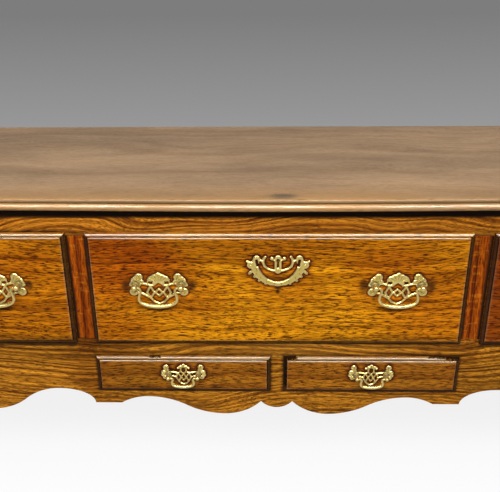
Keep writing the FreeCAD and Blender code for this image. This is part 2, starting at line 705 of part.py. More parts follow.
def lock_case(bay):
    pocket = lock_pocket(bay)
    box = pocket.BoundBox
    half = BOLT_WIDTH / 2 + BOLT_CLEARANCE
    y_middle = (box.YMin + box.YMax) / 2
    half_y = BOLT_THICKNESS / 2 + BOLT_CLEARANCE
    channel = block((bay.middle - half, bay.middle + half), (y_middle - half_y, y_middle + half_y),
                    (box.ZMax - BOLT_HEIGHT, box.ZMax))
    key_way = keyhole(bay.middle).common(block((box.XMin, box.XMax), (box.YMin, y_middle),
                                               (box.ZMin + LOCK_WALL, box.ZMax)))
    return pocket.cut(channel).cut(key_way)


def lock_bolt(bay):
    box = lock_pocket(bay).BoundBox
    half = BOLT_WIDTH / 2
    y_middle = (box.YMin + box.YMax) / 2
    y = (y_middle - BOLT_THICKNESS / 2, y_middle + BOLT_THICKNESS / 2)
    return block((bay.middle - half, bay.middle + half), y, (box.ZMax - BOLT_HEIGHT, box.ZMax))


# Brass: pierced plates built up from discs and bars, posts, nuts and swan-neck bails

def disc(x, z, radius):
    return Part.makeCylinder(radius, PLATE_THICKNESS, Vector(x, 0, z), Vector(0, -1, 0))


def bar(start, end, width):
    """A flat bar with round ends, between two (x, z) points."""
    length = math.dist(start, end)
    flat = Part.makeBox(length, PLATE_THICKNESS, width, Vector(0, -PLATE_THICKNESS, -width / 2))
    tilt = math.degrees(math.atan2(end[1] - start[1], end[0] - start[0]))
    flat.rotate(Vector(0, 0, 0), Vector(0, -1, 0), tilt)
    flat.translate(Vector(start[0], 0, start[1]))
    return [flat, disc(*start, width / 2), disc(*end, width / 2)]


def chain(points, width):
    """Bars from each point to the next."""
    return [piece for a, b in zip(points, points[1:]) for piece in bar(a, b, width)]


def cast_plate(discs, chains):
    """A symmetrical plate from right-hand (x, z, radius) discs and (points, width) chains of bars."""
    pieces = []
    for x, z, radius in discs:
        pieces += [disc(side * x, z, radius) for side in ((1, -1) if x else (1,))]
    for points, width in chains:
        for side in (1, -1):
            pieces += chain([(side * x, z) for x, z in points], width)
    return fused(pieces)


def handle_plate():
    """A large back plate: a fan crest, leafy wings behind the posts and a lattice of lozenges."""
    crest = [(0, 16.5, 5.8), (6.5, 14.0, 5.0), (12.5, 11.0, 4.2), (17.0, 8.0, 3.0), (5.0, 8.0, 5.4),
             (0, 9.0, 6.0)]
    upper_wing = [(33.5, 13.5, 7.0), (39.0, 9.5, 5.6), (45.0, 9.0, 3.6), (29.5, 4.5, 4.6)]
    lower_wing = [(36.5, 1.5, 7.2), (44.0, 0.5, 5.4), (48.0, -1.0, 2.6), (37.0, -6.5, 6.0),
                  (43.0, -13.5, 7.6), (36.5, -12.0, 6.0)]
    stem = ([(8.0, 6.0), (9.0, -2.0), (14.5, -2.0)], 4.2)
    curl = ([(17.0, 8.0), (19.5, 2.5), (17.0, -1.2)], 2.6)
    strap = ([(33.0, 3.0), (24.0, 0.8), (14.5, -2.0)], 4.2)
    side_lozenge = ([(14.5, -4.0), (20.5, -15.5), (14.5, -26.5), (8.0, -15.5), (14.5, -4.0)], 3.8)
    middle_lozenge = ([(0, -9.0), (6.5, -15.5), (0, -22.0)], 3.8)
    sill = ([(9.0, -2.0), (3.5, -7.0), (0, -9.5)], 3.2)
    heart = ([(14.5, -26.5), (8.5, -33.5), (0, -37.5)], 3.8)
    leaf = ([(33.0, -15.5), (25.5, -19.5), (17.5, -24.5)], 4.8)
    return cast_plate(crest + upper_wing + lower_wing,
                      [stem, curl, strap, side_lozenge, middle_lozenge, sill, heart, leaf])


def small_handle_plate():
    """A small back plate: an open crown, tall leaf ends behind the posts and a close lattice."""
    crest = [(0, 17.0, 4.0), (5.0, 14.6, 3.4), (9.5, 12.4, 2.4)]
    upper_wing = [(31.5, 14.0, 5.2), (30.0, 8.0, 4.0), (35.5, 3.5, 4.8), (28.5, 2.0, 4.4)]
    lower_wing = [(37.0, -2.0, 4.0), (33.5, -7.0, 4.4), (28.5, -5.5, 4.4)]
    stem = ([(5.0, 13.0), (5.0, 5.0), (10.0, 2.0)], 3.0)
    strap = ([(29.0, 4.5), (20.0, 4.0), (10.0, 2.0)], 3.2)
    lower_strap = ([(28.0, -4.5), (19.0, -4.5), (13.0, -7.0)], 3.2)
    side_lozenge = ([(10.0, 2.0), (14.0, -7.0), (9.0, -15.5), (4.8, -7.0), (10.0, 2.0)], 2.8)
    middle_lozenge = ([(0, 0.5), (4.8, -7.0), (0, -14.0)], 2.8)
    heart = ([(9.0, -15.5), (5.0, -20.0), (0, -22.0)], 3.0)
    sill = ([(5.0, 5.0), (0, 0.5)], 2.8)
    return cast_plate(crest + upper_wing + lower_wing,
                      [stem, strap, lower_strap, side_lozenge, middle_lozenge, heart, sill])


def escutcheon_plate():
    """A keyhole plate: a crescent that broadens into leaves at its ends, and scrolled arms round the key."""
    crescent = [([(0, -38.7), (12.0, -36.6)], 8.6), ([(12.0, -36.6), (23.0, -31.0)], 9.6),
                ([(23.0, -31.0), (32.0, -22.5)], 11.0), ([(32.0, -22.5), (38.0, -12.5)], 13.0),
                ([(38.0, -12.5), (39.5, -3.0), (37.0, 5.0)], 12.4)]
    leaves = [([(46.0, -1.0), (52.0, 3.8)], 4.6), ([(41.0, -12.0), (48.5, -18.5)], 5.0),
              ([(36.0, -20.0), (41.5, -27.0)], 5.0), ([(29.0, -27.0), (33.0, -34.0)], 5.0),
              ([(19.0, -33.0), (21.5, -39.5)], 4.6)]
    arm = ([(0, -13.5), (9.0, -13.0), (17.0, -10.0), (22.5, -5.5), (25.2, 1.5), (24.5, 8.0),
            (21.5, 12.3)], 4.2)
    tie = ([(25.0, 3.5), (33.0, 7.0)], 4.2)
    spine = ([(0, 9.0), (0, -13.0)], 12.0)
    curl = ([(10.5, 8.6), (5.0, 5.0)], 3.2)
    knobs = [(36.0, 8.8, 6.0), (45.5, -3.0, 7.0), (10.5, 9.0, 3.3), (0, -14.2, 2.4)]
    return cast_plate(knobs, crescent + leaves + [arm, tie, spine, curl])


def post_places(handle_x, spacing):
    """Where the posts stand, for handles centred at each of handle_x."""
    return [x + side * spacing / 2 for x in handle_x for side in (-1, 1)]


def on_field(plate, x, level):
    """A plate, drawn about its own middle, laid on the field of a drawer front."""
    return moved(plate, x, FRONT - FIELD_FRONT, level)


def drilled_plates(plate, handle_x, level, spacing):
    radius = POST_STEM_RADIUS + POST_HOLE_CLEARANCE
    placed = []
    for x in handle_x:
        holes = [front_to_back_pin(p, level, radius) for p in post_places([x], spacing)]
        placed.append(on_field(plate, x, level).cut(Part.makeCompound(holes)))
    return placed


def post(x, level, head_radius):
    """A handle post: stem through the front, collar on the plate, neck, and a head drilled for the bail."""
    plate_front = FRONT - FIELD_FRONT - PLATE_THICKNESS
    pivot = Vector(x, plate_front - PIVOT_STANDOFF, level)
    stem_end = FRONT + FRONT_BODY + NUT_THICKNESS + STEM_BEYOND_NUT
    back = Vector(0, 1, 0)
    stem = Part.makeCylinder(POST_STEM_RADIUS, stem_end - plate_front, Vector(x, plate_front, level), back)
    collar_front = Vector(x, plate_front - POST_COLLAR_HEIGHT, level)
    collar = Part.makeCylinder(POST_COLLAR_RADIUS, POST_COLLAR_HEIGHT, collar_front, back)
    neck = Part.makeCylinder(POST_NECK_RADIUS, PIVOT_STANDOFF, pivot, back)
    head = Part.makeSphere(head_radius, pivot)
    reach = 2 * head_radius
    hole = Part.makeCylinder(BAIL_PIN_RADIUS + BAIL_PIN_CLEARANCE, 2 * reach,
                             pivot - Vector(reach, 0, 0), Vector(1, 0, 0))
    return fused([stem, collar, neck, head]).cut(hole)


def nut(x, level):
    half = NUT_WIDTH / 2
    y = (FRONT + FRONT_BODY, FRONT + FRONT_BODY + NUT_THICKNESS)
    square = block((x - half, x + half), y, (level - half, level + half))
    hole = Part.makeCylinder(POST_STEM_RADIUS + BAIL_PIN_CLEARANCE, NUT_THICKNESS,
                             Vector(x, y[0], level), Vector(0, 1, 0))
    return square.cut(hole)


def posts_and_nuts(handle_x, level, spacing, head_radius):
    places = post_places(handle_x, spacing)
    return [post(x, level, head_radius) for x in places] + [nut(x, level) for x in places]


def bail_path(spacing, drop, head_radius):
    """The right half of a swan-neck bail's line, from the inside of the post to the middle of the grip."""
    start = spacing / 2 - head_radius
    neck = start - BAIL_NECK_INSET
    flare = spacing / 2 - BAIL_FLARE_INSET
    return [(start, 0.0), ((start + neck) / 2, -0.02 * drop), (neck, -0.13 * drop),
            (neck + 0.2 * (flare - neck), -0.28 * drop), (flare, -0.54 * drop),
            (0.96 * flare, -0.73 * drop), (0.72 * flare, -0.90 * drop), (0.36 * flare, -0.98 * drop),
            (0.0, -drop)]


def bail(x, level, spacing, drop, head_radius, belly_radius):
    """A bail that hangs from its two pins, slim at the necks and full at the grip."""
    pivot_y = FRONT - FIELD_FRONT - PLATE_THICKNESS - PIVOT_STANDOFF
    half = bail_path(spacing, drop, head_radius)
    whole = half + [(-px, pz) for px, pz in reversed(half[:-1])]
    line = Part.BSplineCurve()
    line.interpolate([Vector(x + px, pivot_y, level + pz) for px, pz in whole])
    length = line.length()
    rings = []
    for k in range(BAIL_SECTIONS):
        share = k / (BAIL_SECTIONS - 1)
        at = line.parameterAtDistance(length * share, line.FirstParameter)
        fullness = math.sin(math.pi * share) ** 3
        radius = BAIL_NECK_RADIUS + (belly_radius - BAIL_NECK_RADIUS) * fullness
        if k in (0, BAIL_SECTIONS - 1):
            radius = BAIL_PIN_RADIUS
        circle = Part.makeCircle(radius, line.value(at), line.tangent(at)[0])
        rings.append(Part.Wire(circle))
    hoop = Part.makeLoft(rings, True, False)
    pins = []
    for side in (-1, 1):
        tip = spacing / 2 + BAIL_PIN_BEYOND
        root = spacing / 2 - head_radius - BAIL_PIN_LAP
        pins.append(Part.makeCylinder(BAIL_PIN_RADIUS, tip - root,
                                      Vector(x + side * root, pivot_y, level), Vector(side, 0, 0)))
    return fused([hoop] + pins)


# Assembly: each drawer with its own brass, then the carcase

def write_drawer_box(name, bay, front):
    write(name + "_front", front)
    write(name + "_sides", drawer_sides(bay))
    write(name + "_back", drawer_back(bay))
    write(name + "_bottom", drawer_bottom(bay))


def write_main_drawer(name, bay, handle_offset, plate, key_plate):
    handle_x = [bay.middle - handle_offset, bay.middle + handle_offset]
    front = drawer_front(bay, handle_x, HANDLE_LEVEL, HANDLE_SPACING, True)
    write_drawer_box(name, bay, front)
    write(name + "_handle_plates", drilled_plates(plate, handle_x, HANDLE_LEVEL, HANDLE_SPACING))
    write(name + "_handle_posts",
          posts_and_nuts(handle_x, HANDLE_LEVEL, HANDLE_SPACING, POST_HEAD_RADIUS))
    for side, x in zip(("left", "right"), handle_x):
        write(f"{name}_{side}_bail", bail(x, HANDLE_LEVEL, HANDLE_SPACING, BAIL_DROP,
                                          POST_HEAD_RADIUS, BAIL_BELLY_RADIUS))
    write(name + "_escutcheon",
          on_field(key_plate, bay.middle, KEYHOLE_LEVEL - ESCUTCHEON_DROP).cut(keyhole(bay.middle)))
    write(name + "_lock", lock_case(bay))
    write(name + "_lock_bolt", lock_bolt(bay))


def write_small_drawer(name, bay, plate):
    handle_x = [bay.middle]
    front = drawer_front(bay, handle_x, SMALL_HANDLE_LEVEL, SMALL_HANDLE_SPACING, False)
    write_drawer_box(name, bay, front)
    write(name + "_handle_plate",
          drilled_plates(plate, handle_x, SMALL_HANDLE_LEVEL, SMALL_HANDLE_SPACING))
    write(name + "_handle_posts", posts_and_nuts(handle_x, SMALL_HANDLE_LEVEL, SMALL_HANDLE_SPACING,
                                                 SMALL_POST_HEAD_RADIUS))
    write(name + "_bail", bail(bay.middle, SMALL_HANDLE_LEVEL, SMALL_HANDLE_SPACING, SMALL_BAIL_DROP,
                               SMALL_POST_HEAD_RADIUS, SMALL_BAIL_BELLY_RADIUS))


def main():
    os.makedirs("parts", exist_ok=True)
    write("top_boards", top_boards())
    write("front_top_rail", front_top_rail())
    write("drawer_muntins", drawer_muntins())
    write("front_apron", front_apron())
    leg = front_leg()
    write("right_front_leg", leg)
    write("left_front_leg", mirrored(leg))
    write("back_legs", both_sides(back_leg()))
    right_rails = end_rails()
    write("end_rails", right_rails + [mirrored(r) for r in right_rails])
    write("end_panels", both_sides(end_panel()))
    write("back_rails", back_rails())
    write("back_boards", back_boards())
    write("drawer_runners", drawer_runners())
    write("drawer_guides_and_kickers", drawer_guides() + drawer_kickers())

    plate, small_plate, key_plate = handle_plate(), small_handle_plate(), escutcheon_plate()
    right_x = (MUNTIN_OUTER, LEG_INNER)
    left_x = (-LEG_INNER, -MUNTIN_OUTER)
    centre_x = (-HALF_CENTRE, HALF_CENTRE)
    mains = (("left_drawer", left_x, SIDE_HANDLE_OFFSET),
             ("centre_drawer", centre_x, CENTRE_HANDLE_OFFSET),
             ("right_drawer", right_x, SIDE_HANDLE_OFFSET))
    for name, x, offset in mains:
        write_main_drawer(name, Bay(x, APRON_TOP, OPENING_TOP, MAIN_TAILS), offset, plate, key_plate)
    smalls = (("left_small_drawer", (-SMALL_OUTER, -SMALL_INNER)),
              ("right_small_drawer", (SMALL_INNER, SMALL_OUTER)))
    for name, x in smalls:
        write_small_drawer(name, Bay(x, SMALL_FLOOR, SMALL_TOP, SMALL_TAILS), small_plate)


main()
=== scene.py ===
import math

import bmesh
import bpy
import numpy as np
from mathutils import Matrix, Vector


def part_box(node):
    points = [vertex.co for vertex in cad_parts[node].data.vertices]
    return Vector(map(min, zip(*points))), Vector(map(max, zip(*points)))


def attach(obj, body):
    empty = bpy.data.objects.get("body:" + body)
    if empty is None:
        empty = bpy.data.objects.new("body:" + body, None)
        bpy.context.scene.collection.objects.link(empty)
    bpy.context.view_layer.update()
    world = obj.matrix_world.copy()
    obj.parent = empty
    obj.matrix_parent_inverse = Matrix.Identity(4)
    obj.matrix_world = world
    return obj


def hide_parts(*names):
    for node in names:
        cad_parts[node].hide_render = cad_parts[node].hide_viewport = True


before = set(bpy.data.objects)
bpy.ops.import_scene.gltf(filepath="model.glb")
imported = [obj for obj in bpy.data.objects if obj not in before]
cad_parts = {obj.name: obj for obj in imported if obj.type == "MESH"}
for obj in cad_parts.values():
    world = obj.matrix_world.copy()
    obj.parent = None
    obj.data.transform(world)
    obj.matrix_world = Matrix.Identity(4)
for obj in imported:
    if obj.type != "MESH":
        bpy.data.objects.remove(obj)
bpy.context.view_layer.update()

# Top: two old oak boards edge to edge, waxed for generations; their pale grey-brown colour is partly a
# painted sheen.
# The front and both ends are worked with a plane into a rounded nose, a narrow quirk and a low step.
# It is pegged down on the frame and carries the wear: a dark stain and a rubbed, softened front edge.

top_low, top_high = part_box("top_boards")
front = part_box("front_top_rail")[0].y
MM = 0.001
# Marks kept on each point: wear, which on the drawer lips is also a painted highlight, and grime and stain,
# which in places are painted shade.
MARKS = ("wear_and_sheen", "grime_and_shade", "stain_and_shade")
SEAM = 2e-6
SLIVER = 1e-7
CREASE = math.radians(38.0)


def grid_cells(rows, columns):
    """The four-sided cells of a grid of points that are numbered row by row."""
    index = np.arange(rows * columns).reshape(rows, columns)
    return np.stack([index[:-1, :-1], index[1:, :-1], index[1:, 1:], index[:-1, 1:]], axis=-1)


def marked(x, y, z, wear_and_sheen=0.0, grime_and_shade=0.0, stain_and_shade=0.0):
    """A grid of points and their marks, each given for every point or once for all."""
    return np.stack(np.broadcast_arrays(x, y, z, wear_and_sheen, grime_and_shade, stain_and_shade), axis=-1)


def spread(points):
    """A grid of marked points as a list of points and its four-sided cells."""
    rows, columns = points.shape[:2]
    return points.reshape(rows * columns, -1), grid_cells(rows, columns).reshape(-1, 4)


def make_piece(name, patches, body, material, nodes=()):
    """Sews patches of points and cells into one closed mesh, with the marks kept as attributes."""
    counts = np.cumsum([0] + [len(points) for points, _ in patches])
    points = np.concatenate([p for p, _ in patches])
    cells = np.concatenate([c + start for (_, c), start in zip(patches, counts)])
    mesh = bpy.data.meshes.new(name)
    mesh.vertices.add(len(points))
    mesh.vertices.foreach_set("co", points[:, :3].astype(np.float32).ravel())
    mesh.loops.add(cells.size)
    mesh.loops.foreach_set("vertex_index", cells.astype(np.int32).ravel())
    mesh.polygons.add(len(cells))
    mesh.polygons.foreach_set("loop_start", np.arange(0, cells.size, 4, dtype=np.int32))
    for k, kind in enumerate(MARKS):
        values = mesh.attributes.new(kind, "FLOAT", "POINT")
        values.data.foreach_set("value", points[:, 3 + k].astype(np.float32))
    mesh.update(calc_edges=True)
    work = bmesh.new()
    work.from_mesh(mesh)
    bmesh.ops.delete(work, geom=[v for v in work.verts if not v.link_faces], context="VERTS")
    bmesh.ops.remove_doubles(work, verts=work.verts, dist=SEAM)
    bmesh.ops.dissolve_degenerate(work, edges=work.edges, dist=SLIVER)
    bmesh.ops.recalc_face_normals(work, faces=work.faces)
    work.to_mesh(mesh)
    work.free()
    mesh.polygons.foreach_set("use_smooth", np.ones(len(mesh.polygons), dtype=bool))
    mesh.set_sharp_from_angle(angle=CREASE)
    mesh.materials.append(material)
    piece = bpy.data.objects.new(name, mesh)
    bpy.context.collection.objects.link(piece)
    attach(piece, body)
    if nodes:
        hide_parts(*nodes)


def rolling(a, b, seed, wave, depth, waves=6):
    """Gentle unevenness in the range 0 to -depth: sine waves of seeded direction and phase, summed."""
    chance = np.random.default_rng(seed)
    turns = chance.uniform(0, np.pi, waves)
    phases = chance.uniform(0, 2 * np.pi, waves)
    stretches = chance.uniform(0.6, 1.8, waves)
    total = np.zeros(np.broadcast(a, b).shape)
    for turn, phase, stretch in zip(turns, phases, stretches):
        along = a * np.cos(turn) + b * np.sin(turn)
        total += np.sin(2 * np.pi * along / (wave * stretch) + phase)
    return -depth * (0.5 + total / (2 * waves))


def fade(distance, reach):
    """One at no distance, falling as e to the minus square of the distance counted in reaches."""
    return np.exp(-(distance / reach) ** 2)


def climb(value, width):
    """Nothing up to zero, then rising evenly to one over a width."""
    return np.clip(value / width, 0, 1)


def oval_spot(a, b, place_a, place_b, reach_a, reach_b, share):
    """A soft oval: the share, times e to the minus fourth power of the distance counted in reaches."""
    away = ((a - place_a) / reach_a) ** 2 + ((b - place_b) / reach_b) ** 2
    return share * np.exp(-away ** 2)


def put(tree, kind, settings=(), **inputs):
    """Adds a shader node. Each input takes a value or the output that feeds it; iN names it by number."""
    node = tree.nodes.new(kind)
    for key, value in dict(settings).items():
        setattr(node, key, value)
    for key, value in inputs.items():
        numbered = key[0] == "i" and key[1:].isdigit()
        socket = node.inputs[int(key[1:])] if numbered else node.inputs[key.replace("_", " ")]
        if isinstance(value, bpy.types.NodeSocket):
            tree.links.new(value, socket)
        else:
            socket.default_value = value
    return node


def maths(tree, operation, first, second=0.0):
    """One arithmetic step on two values."""
    return put(tree, "ShaderNodeMath", {"operation": operation}, i0=first, i1=second).outputs[0]


def times(tree, first, second):
    """One value multiplied by another."""
    return maths(tree, "MULTIPLY", first, second)


def vectors(tree, operation, first, second, third=(0.0, 0.0, 0.0)):
    """One arithmetic step on vectors."""
    node = put(tree, "ShaderNodeVectorMath", {"operation": operation}, i0=first, i1=second, i2=third)
    return node.outputs[0]


def tint(tree, share, under, over, mode="MIX"):
    """Lays one colour over another by a share. A plain colour is given by its three parts."""
    under, over = [(*colour, 1.0) if isinstance(colour, tuple) else colour for colour in (under, over)]
    node = put(tree, "ShaderNodeMix", {"data_type": "RGBA", "blend_type": mode}, i0=share, i6=under, i7=over)
    return node.outputs[2]


def ramp(tree, value, low, high, to_low=0.0, to_high=1.0):
    """Stretches a value from low..high to to_low..to_high, and clips it there."""
    node = put(tree, "ShaderNodeMapRange", {"clamp": True}, Value=value, From_Min=low, From_Max=high,
               To_Min=to_low, To_Max=to_high)
    return node.outputs[0]


def stretched_noise(tree, place, stretch, detail, roughness=0.55):
    """Noise whose grain is drawn out: the place is multiplied by stretch, in features for each metre."""
    scaled = vectors(tree, "MULTIPLY", place, stretch)
    return put(tree, "ShaderNodeTexNoise", Vector=scaled, Scale=1.0, Detail=detail, Roughness=roughness)


def blank_material(name):
    """A material with an empty tree, and the piece's own place as an output in that tree."""
    material = bpy.data.materials.new(name)
    material.use_nodes = True
    tree = material.node_tree
    tree.nodes.clear()
    return material, tree, put(tree, "ShaderNodeTexCoord").outputs["Object"]


def mark(tree, name):
    """One of a piece's own marks, as a value."""
    return put(tree, "ShaderNodeAttribute", {"attribute_name": name}).outputs["Fac"]


def surface(material, tree, **inputs):
    """Ends a material with one shader that takes the given inputs."""
    shader = put(tree, "ShaderNodeBsdfPrincipled", **inputs)
    put(tree, "ShaderNodeOutputMaterial", Surface=shader.outputs[0])
    return material


TREE_HEART = (0.0, 0.31, 0.12)
DRIFT_STRETCH = (2.4, 5.0, 5.0)
BLOTCH_STRETCH = (3.0, 9.0, 9.0)
RING_ROUGHNESS = 0.62
RING_SPAN = (0.36, 0.64)
LINES = {"Streaks": ((5.0, 260.0, 260.0), 0.55, (0.47, 0.66)),
         "Pores": ((66.0, 700.0, 700.0), 0.60, (0.48, 0.60)),
         "Flecks": ((150.0, 34.0, 34.0), 0.55, (0.57, 0.68))}
OPEN_WOOD = 1.3


def build_oak_figure():
    """Sawn oak in grain space, where X runs with the grain.

    Tone is noise along the distance from a tree's wandering heart, so each cut shows its growth rings.
    Streaks are long dark lines, thicker in the open early wood. Pores are short dark flecks with the grain.
    Flecks are pale rays across it, and Blotch is the slow change of colour over a board.
    """
    tree = bpy.data.node_groups.new("oak_figure", "ShaderNodeTree")
    for name, kind in (("Place", "Vector"), ("Ring", "Float"), ("Wander", "Float")):
        tree.interface.new_socket(name, in_out="INPUT", socket_type="NodeSocket" + kind)
    source = tree.nodes.new("NodeGroupInput")
    place = source.outputs["Place"]
    drift = stretched_noise(tree, place, DRIFT_STRETCH, 2.0)
    shift = vectors(tree, "SUBTRACT", drift.outputs["Color"], (0.5, 0.5, 0.5))
    bent = put(tree, "ShaderNodeVectorMath", {"operation": "SCALE"}, i0=shift, Scale=source.outputs["Wander"])
    moved = vectors(tree, "ADD", place, bent.outputs[0])
    across = vectors(tree, "MULTIPLY_ADD", moved, (0.0, 1.0, 1.0), TREE_HEART)
    heart = put(tree, "ShaderNodeVectorMath", {"operation": "LENGTH"}, i0=across)
    count = maths(tree, "DIVIDE", heart.outputs["Value"], source.outputs["Ring"])
    rings = put(tree, "ShaderNodeTexNoise", {"noise_dimensions": "1D"}, W=count, Scale=1.0, Detail=3.0,
                Roughness=RING_ROUGHNESS)
    figure = {"Tone": ramp(tree, rings.outputs[0], *RING_SPAN)}
    for name, (stretch, roughness, span) in LINES.items():
        figure[name] = ramp(tree, stretched_noise(tree, moved, stretch, 2.0, roughness).outputs[0], *span)
    open_wood = maths(tree, "SUBTRACT", OPEN_WOOD, figure["Tone"])
    figure["Streaks"] = times(tree, figure["Streaks"], open_wood)
    figure["Blotch"] = stretched_noise(tree, place, BLOTCH_STRETCH, 3.0).outputs[0]
    for name in figure:
        tree.interface.new_socket(name, in_out="OUTPUT", socket_type="NodeSocketFloat")
    sink = tree.nodes.new("NodeGroupOutput")
    for name, value in figure.items():
        tree.links.new(value, sink.inputs[name])
    return tree


oak_figure = build_oak_figure()

GRAIN_TURNS = {"along_x": (0.0, 0.0, 0.0), "along_y": (0.0, 0.0, -math.pi / 2),
               "upright": (0.0, math.pi / 2, 0.0)}
WAX_GLINT = (1.0, 0.75, 0.40, 1.0)
WAX_ROUGHNESS, WAX_BENDING = 0.20, 1.7
BOARD_SHADES = (0.30, 0.70, 0.72, 1.18)
BROKEN_WEAR_AND_SHEEN = (0.35, 0.60, 0.35, 1.0)
CLOUDY_STAIN_AND_SHADE = (0.35, 0.60, 1.0, 0.80)
POLISHED_WEAR = 0.62
PORE_ROUGHNESS, GRIME_AND_SHADE_ROUGHNESS = 0.15, 0.3
RING_RELIEF, OAK_RELIEF, PORE_DEPTH = 0.25, 0.30, 0.0005


def oak(name, grain, pale, deep, pore, ring=0.011, wander=0.05, fleck=0.0, shift=(0.0, 0.0, 0.0),
        gloss=0.42, wax=0.05, rub_and_sheen=(0.62, 0.30, 0.05), dirt_and_shade=(0.012, 0.005, 0.002), glaze_and_shade=(0.36, 0.02, 0.06),
        pore_share=0.95, streak_share=0.6, shine=0.05, rub_and_sheen_share=0.45):
    """Waxed oak: figure from the grain group, with the piece's own wear, grime and stain laid over it; wear
    also paints highlights, and grime and stain also paint shade.
    """
    material, tree, place = blank_material(name)
    turned = put(tree, "ShaderNodeMapping", Vector=place, Location=shift, Rotation=GRAIN_TURNS[grain])
    figure = put(tree, "ShaderNodeGroup", {"node_tree": oak_figure}, Place=turned.outputs[0], Ring=ring,
                 Wander=wander).outputs
    wear_and_sheen, grime_and_shade, stain_and_shade = [mark(tree, name) for name in MARKS]
    colour = tint(tree, figure["Tone"], deep, pale)
    layers = (("Flecks", fleck, rub_and_sheen), ("Streaks", streak_share, pore), ("Pores", pore_share, pore))
    for layer, share, hue in layers:
        colour = tint(tree, times(tree, figure[layer], share), colour, hue)
    shade, broken, cloudy = [ramp(tree, figure["Blotch"], *ends)
                             for ends in (BOARD_SHADES, BROKEN_WEAR_AND_SHEEN, CLOUDY_STAIN_AND_SHADE)]
    colour = tint(tree, 1.0, colour, shade, "MULTIPLY")
    colour = tint(tree, times(tree, stain_and_shade, cloudy), colour, glaze_and_shade, "MULTIPLY")
    colour = tint(tree, times(tree, times(tree, wear_and_sheen, broken), rub_and_sheen_share), colour, rub_and_sheen)
    colour = tint(tree, grime_and_shade, colour, dirt_and_shade)
    rough = maths(tree, "ADD", times(tree, figure["Pores"], PORE_ROUGHNESS), gloss)
    rough = maths(tree, "ADD", rough, times(tree, grime_and_shade, GRIME_AND_SHADE_ROUGHNESS))
    height = maths(tree, "SUBTRACT", times(tree, figure["Tone"], RING_RELIEF), figure["Pores"])
    relief = put(tree, "ShaderNodeBump", Strength=OAK_RELIEF, Distance=PORE_DEPTH, Height=height)
    return surface(material, tree, Base_Color=colour, Roughness=rough, Normal=relief.outputs[0],
                   Specular_IOR_Level=shine, Specular_Tint=WAX_GLINT,
                   Coat_Weight=ramp(tree, wear_and_sheen, POLISHED_WEAR, 1.0, wax, 1.0), Coat_Roughness=WAX_ROUGHNESS,
                   Coat_IOR=WAX_BENDING)


TOP_SHOULDER = 0.006
TOP_NOSE = 0.008
NOSE_DEPTH = 0.0052
TOP_UNDER = 0.005
UNDER_INSET = 0.05
TOP_STEP = 0.010
QUIRK_LINE = np.array([(-0.9, 7.2), (0.0, 7.0), (0.1, 4.0), (0.6, 2.5), (1.6, 1.2), (3.0, 0.4), (4.8, 0.0),
                       (14.0, 0.0)])
WORN_MIDDLE = math.radians(42.5)
WORN_SPAN = math.radians(11)
WORN_CUT = 0.6
RIM_WEAR = 0.60
STEP_WEAR = (0.0, 0.0, 0.0, 0.5, 0.6, 0.5, 0.45, 0.4)
# Painted shade on the downward-facing under-round of the nose, and dirt with painted shade in the quirk.
UNDER_NOSE_SHADE = np.linspace(0.90, 0.10, 11)
QUIRK_DIRT_AND_SHADE = (0.10, 0.3, 0.5, 0.65, 0.85, 0.97, 0.97, 0.6, 0.30, 0.25, 0.15, 0.05, 0.0)


def top_profile():
    """The moulded edge from underneath round to the top, in columns: insets, heights, wear, and grime with
    painted shade.
    The nose is a quarter oval that is cut back to a flat where hands have rubbed it."""
    turn = np.linspace(0, np.pi / 2, 7)
    under = np.stack([TOP_UNDER * (1 - np.sin(turn)), top_low.z + TOP_UNDER * (1 - np.cos(turn))], axis=1)
    fine = np.linspace(0, np.pi / 2, 19)
    rubbed = np.exp(-((fine - WORN_MIDDLE) / WORN_SPAN) ** 4)
    flat = np.clip(1 - np.cos(WORN_SPAN) / np.cos(fine - WORN_MIDDLE), 0, None)
    full = 1 - WORN_CUT * rubbed * flat
    nose_top = top_high.z - TOP_SHOULDER
    nose = np.stack([NOSE_DEPTH * (1 - full * np.cos(fine)),
                     nose_top - TOP_NOSE * (1 - full * np.sin(fine))], axis=1)
    quirk = (TOP_STEP, top_high.z) + QUIRK_LINE * (MM, -MM)
    line = np.concatenate([[[UNDER_INSET, top_low.z]], under, nose, quirk])
    wear_and_sheen = np.concatenate([np.zeros(4), np.full(4, RIM_WEAR), RIM_WEAR + (1 - RIM_WEAR) * rubbed, STEP_WEAR])
    # Painted shade under the nose, dirt and painted shade in the quirk.
    grime_and_shade = np.concatenate([[0.0], UNDER_NOSE_SHADE, np.zeros(10), QUIRK_DIRT_AND_SHADE])
    return np.column_stack([line, wear_and_sheen, grime_and_shade])


TOP_DROOP = 0.0032
NOSE_LIFT = 0.0042
BELL_REACH = 0.40
SAG_BEHIND_RAIL = 0.088
SAG_REACH = 0.110
LIFT_REACH = 0.020
LIFT_HEIGHT = 0.010


def droop(x, y, height):
    """The long front edge has warped. About the middle its upper side sags in a soft bell, and away from the
    middle its lower side lifts. Both die away at the rail, so that the underside still lies on the frame."""
    bell = fade(x, BELL_REACH)
    near_front = climb(front - y + SAG_BEHIND_RAIL, SAG_REACH)
    overhang = climb(front - y, LIFT_REACH)
    raised = climb(height - top_low.z, LIFT_HEIGHT)
    return NOSE_LIFT * (1 - bell) * overhang * (1 - raised) - TOP_DROOP * bell * near_front ** 2 * raised


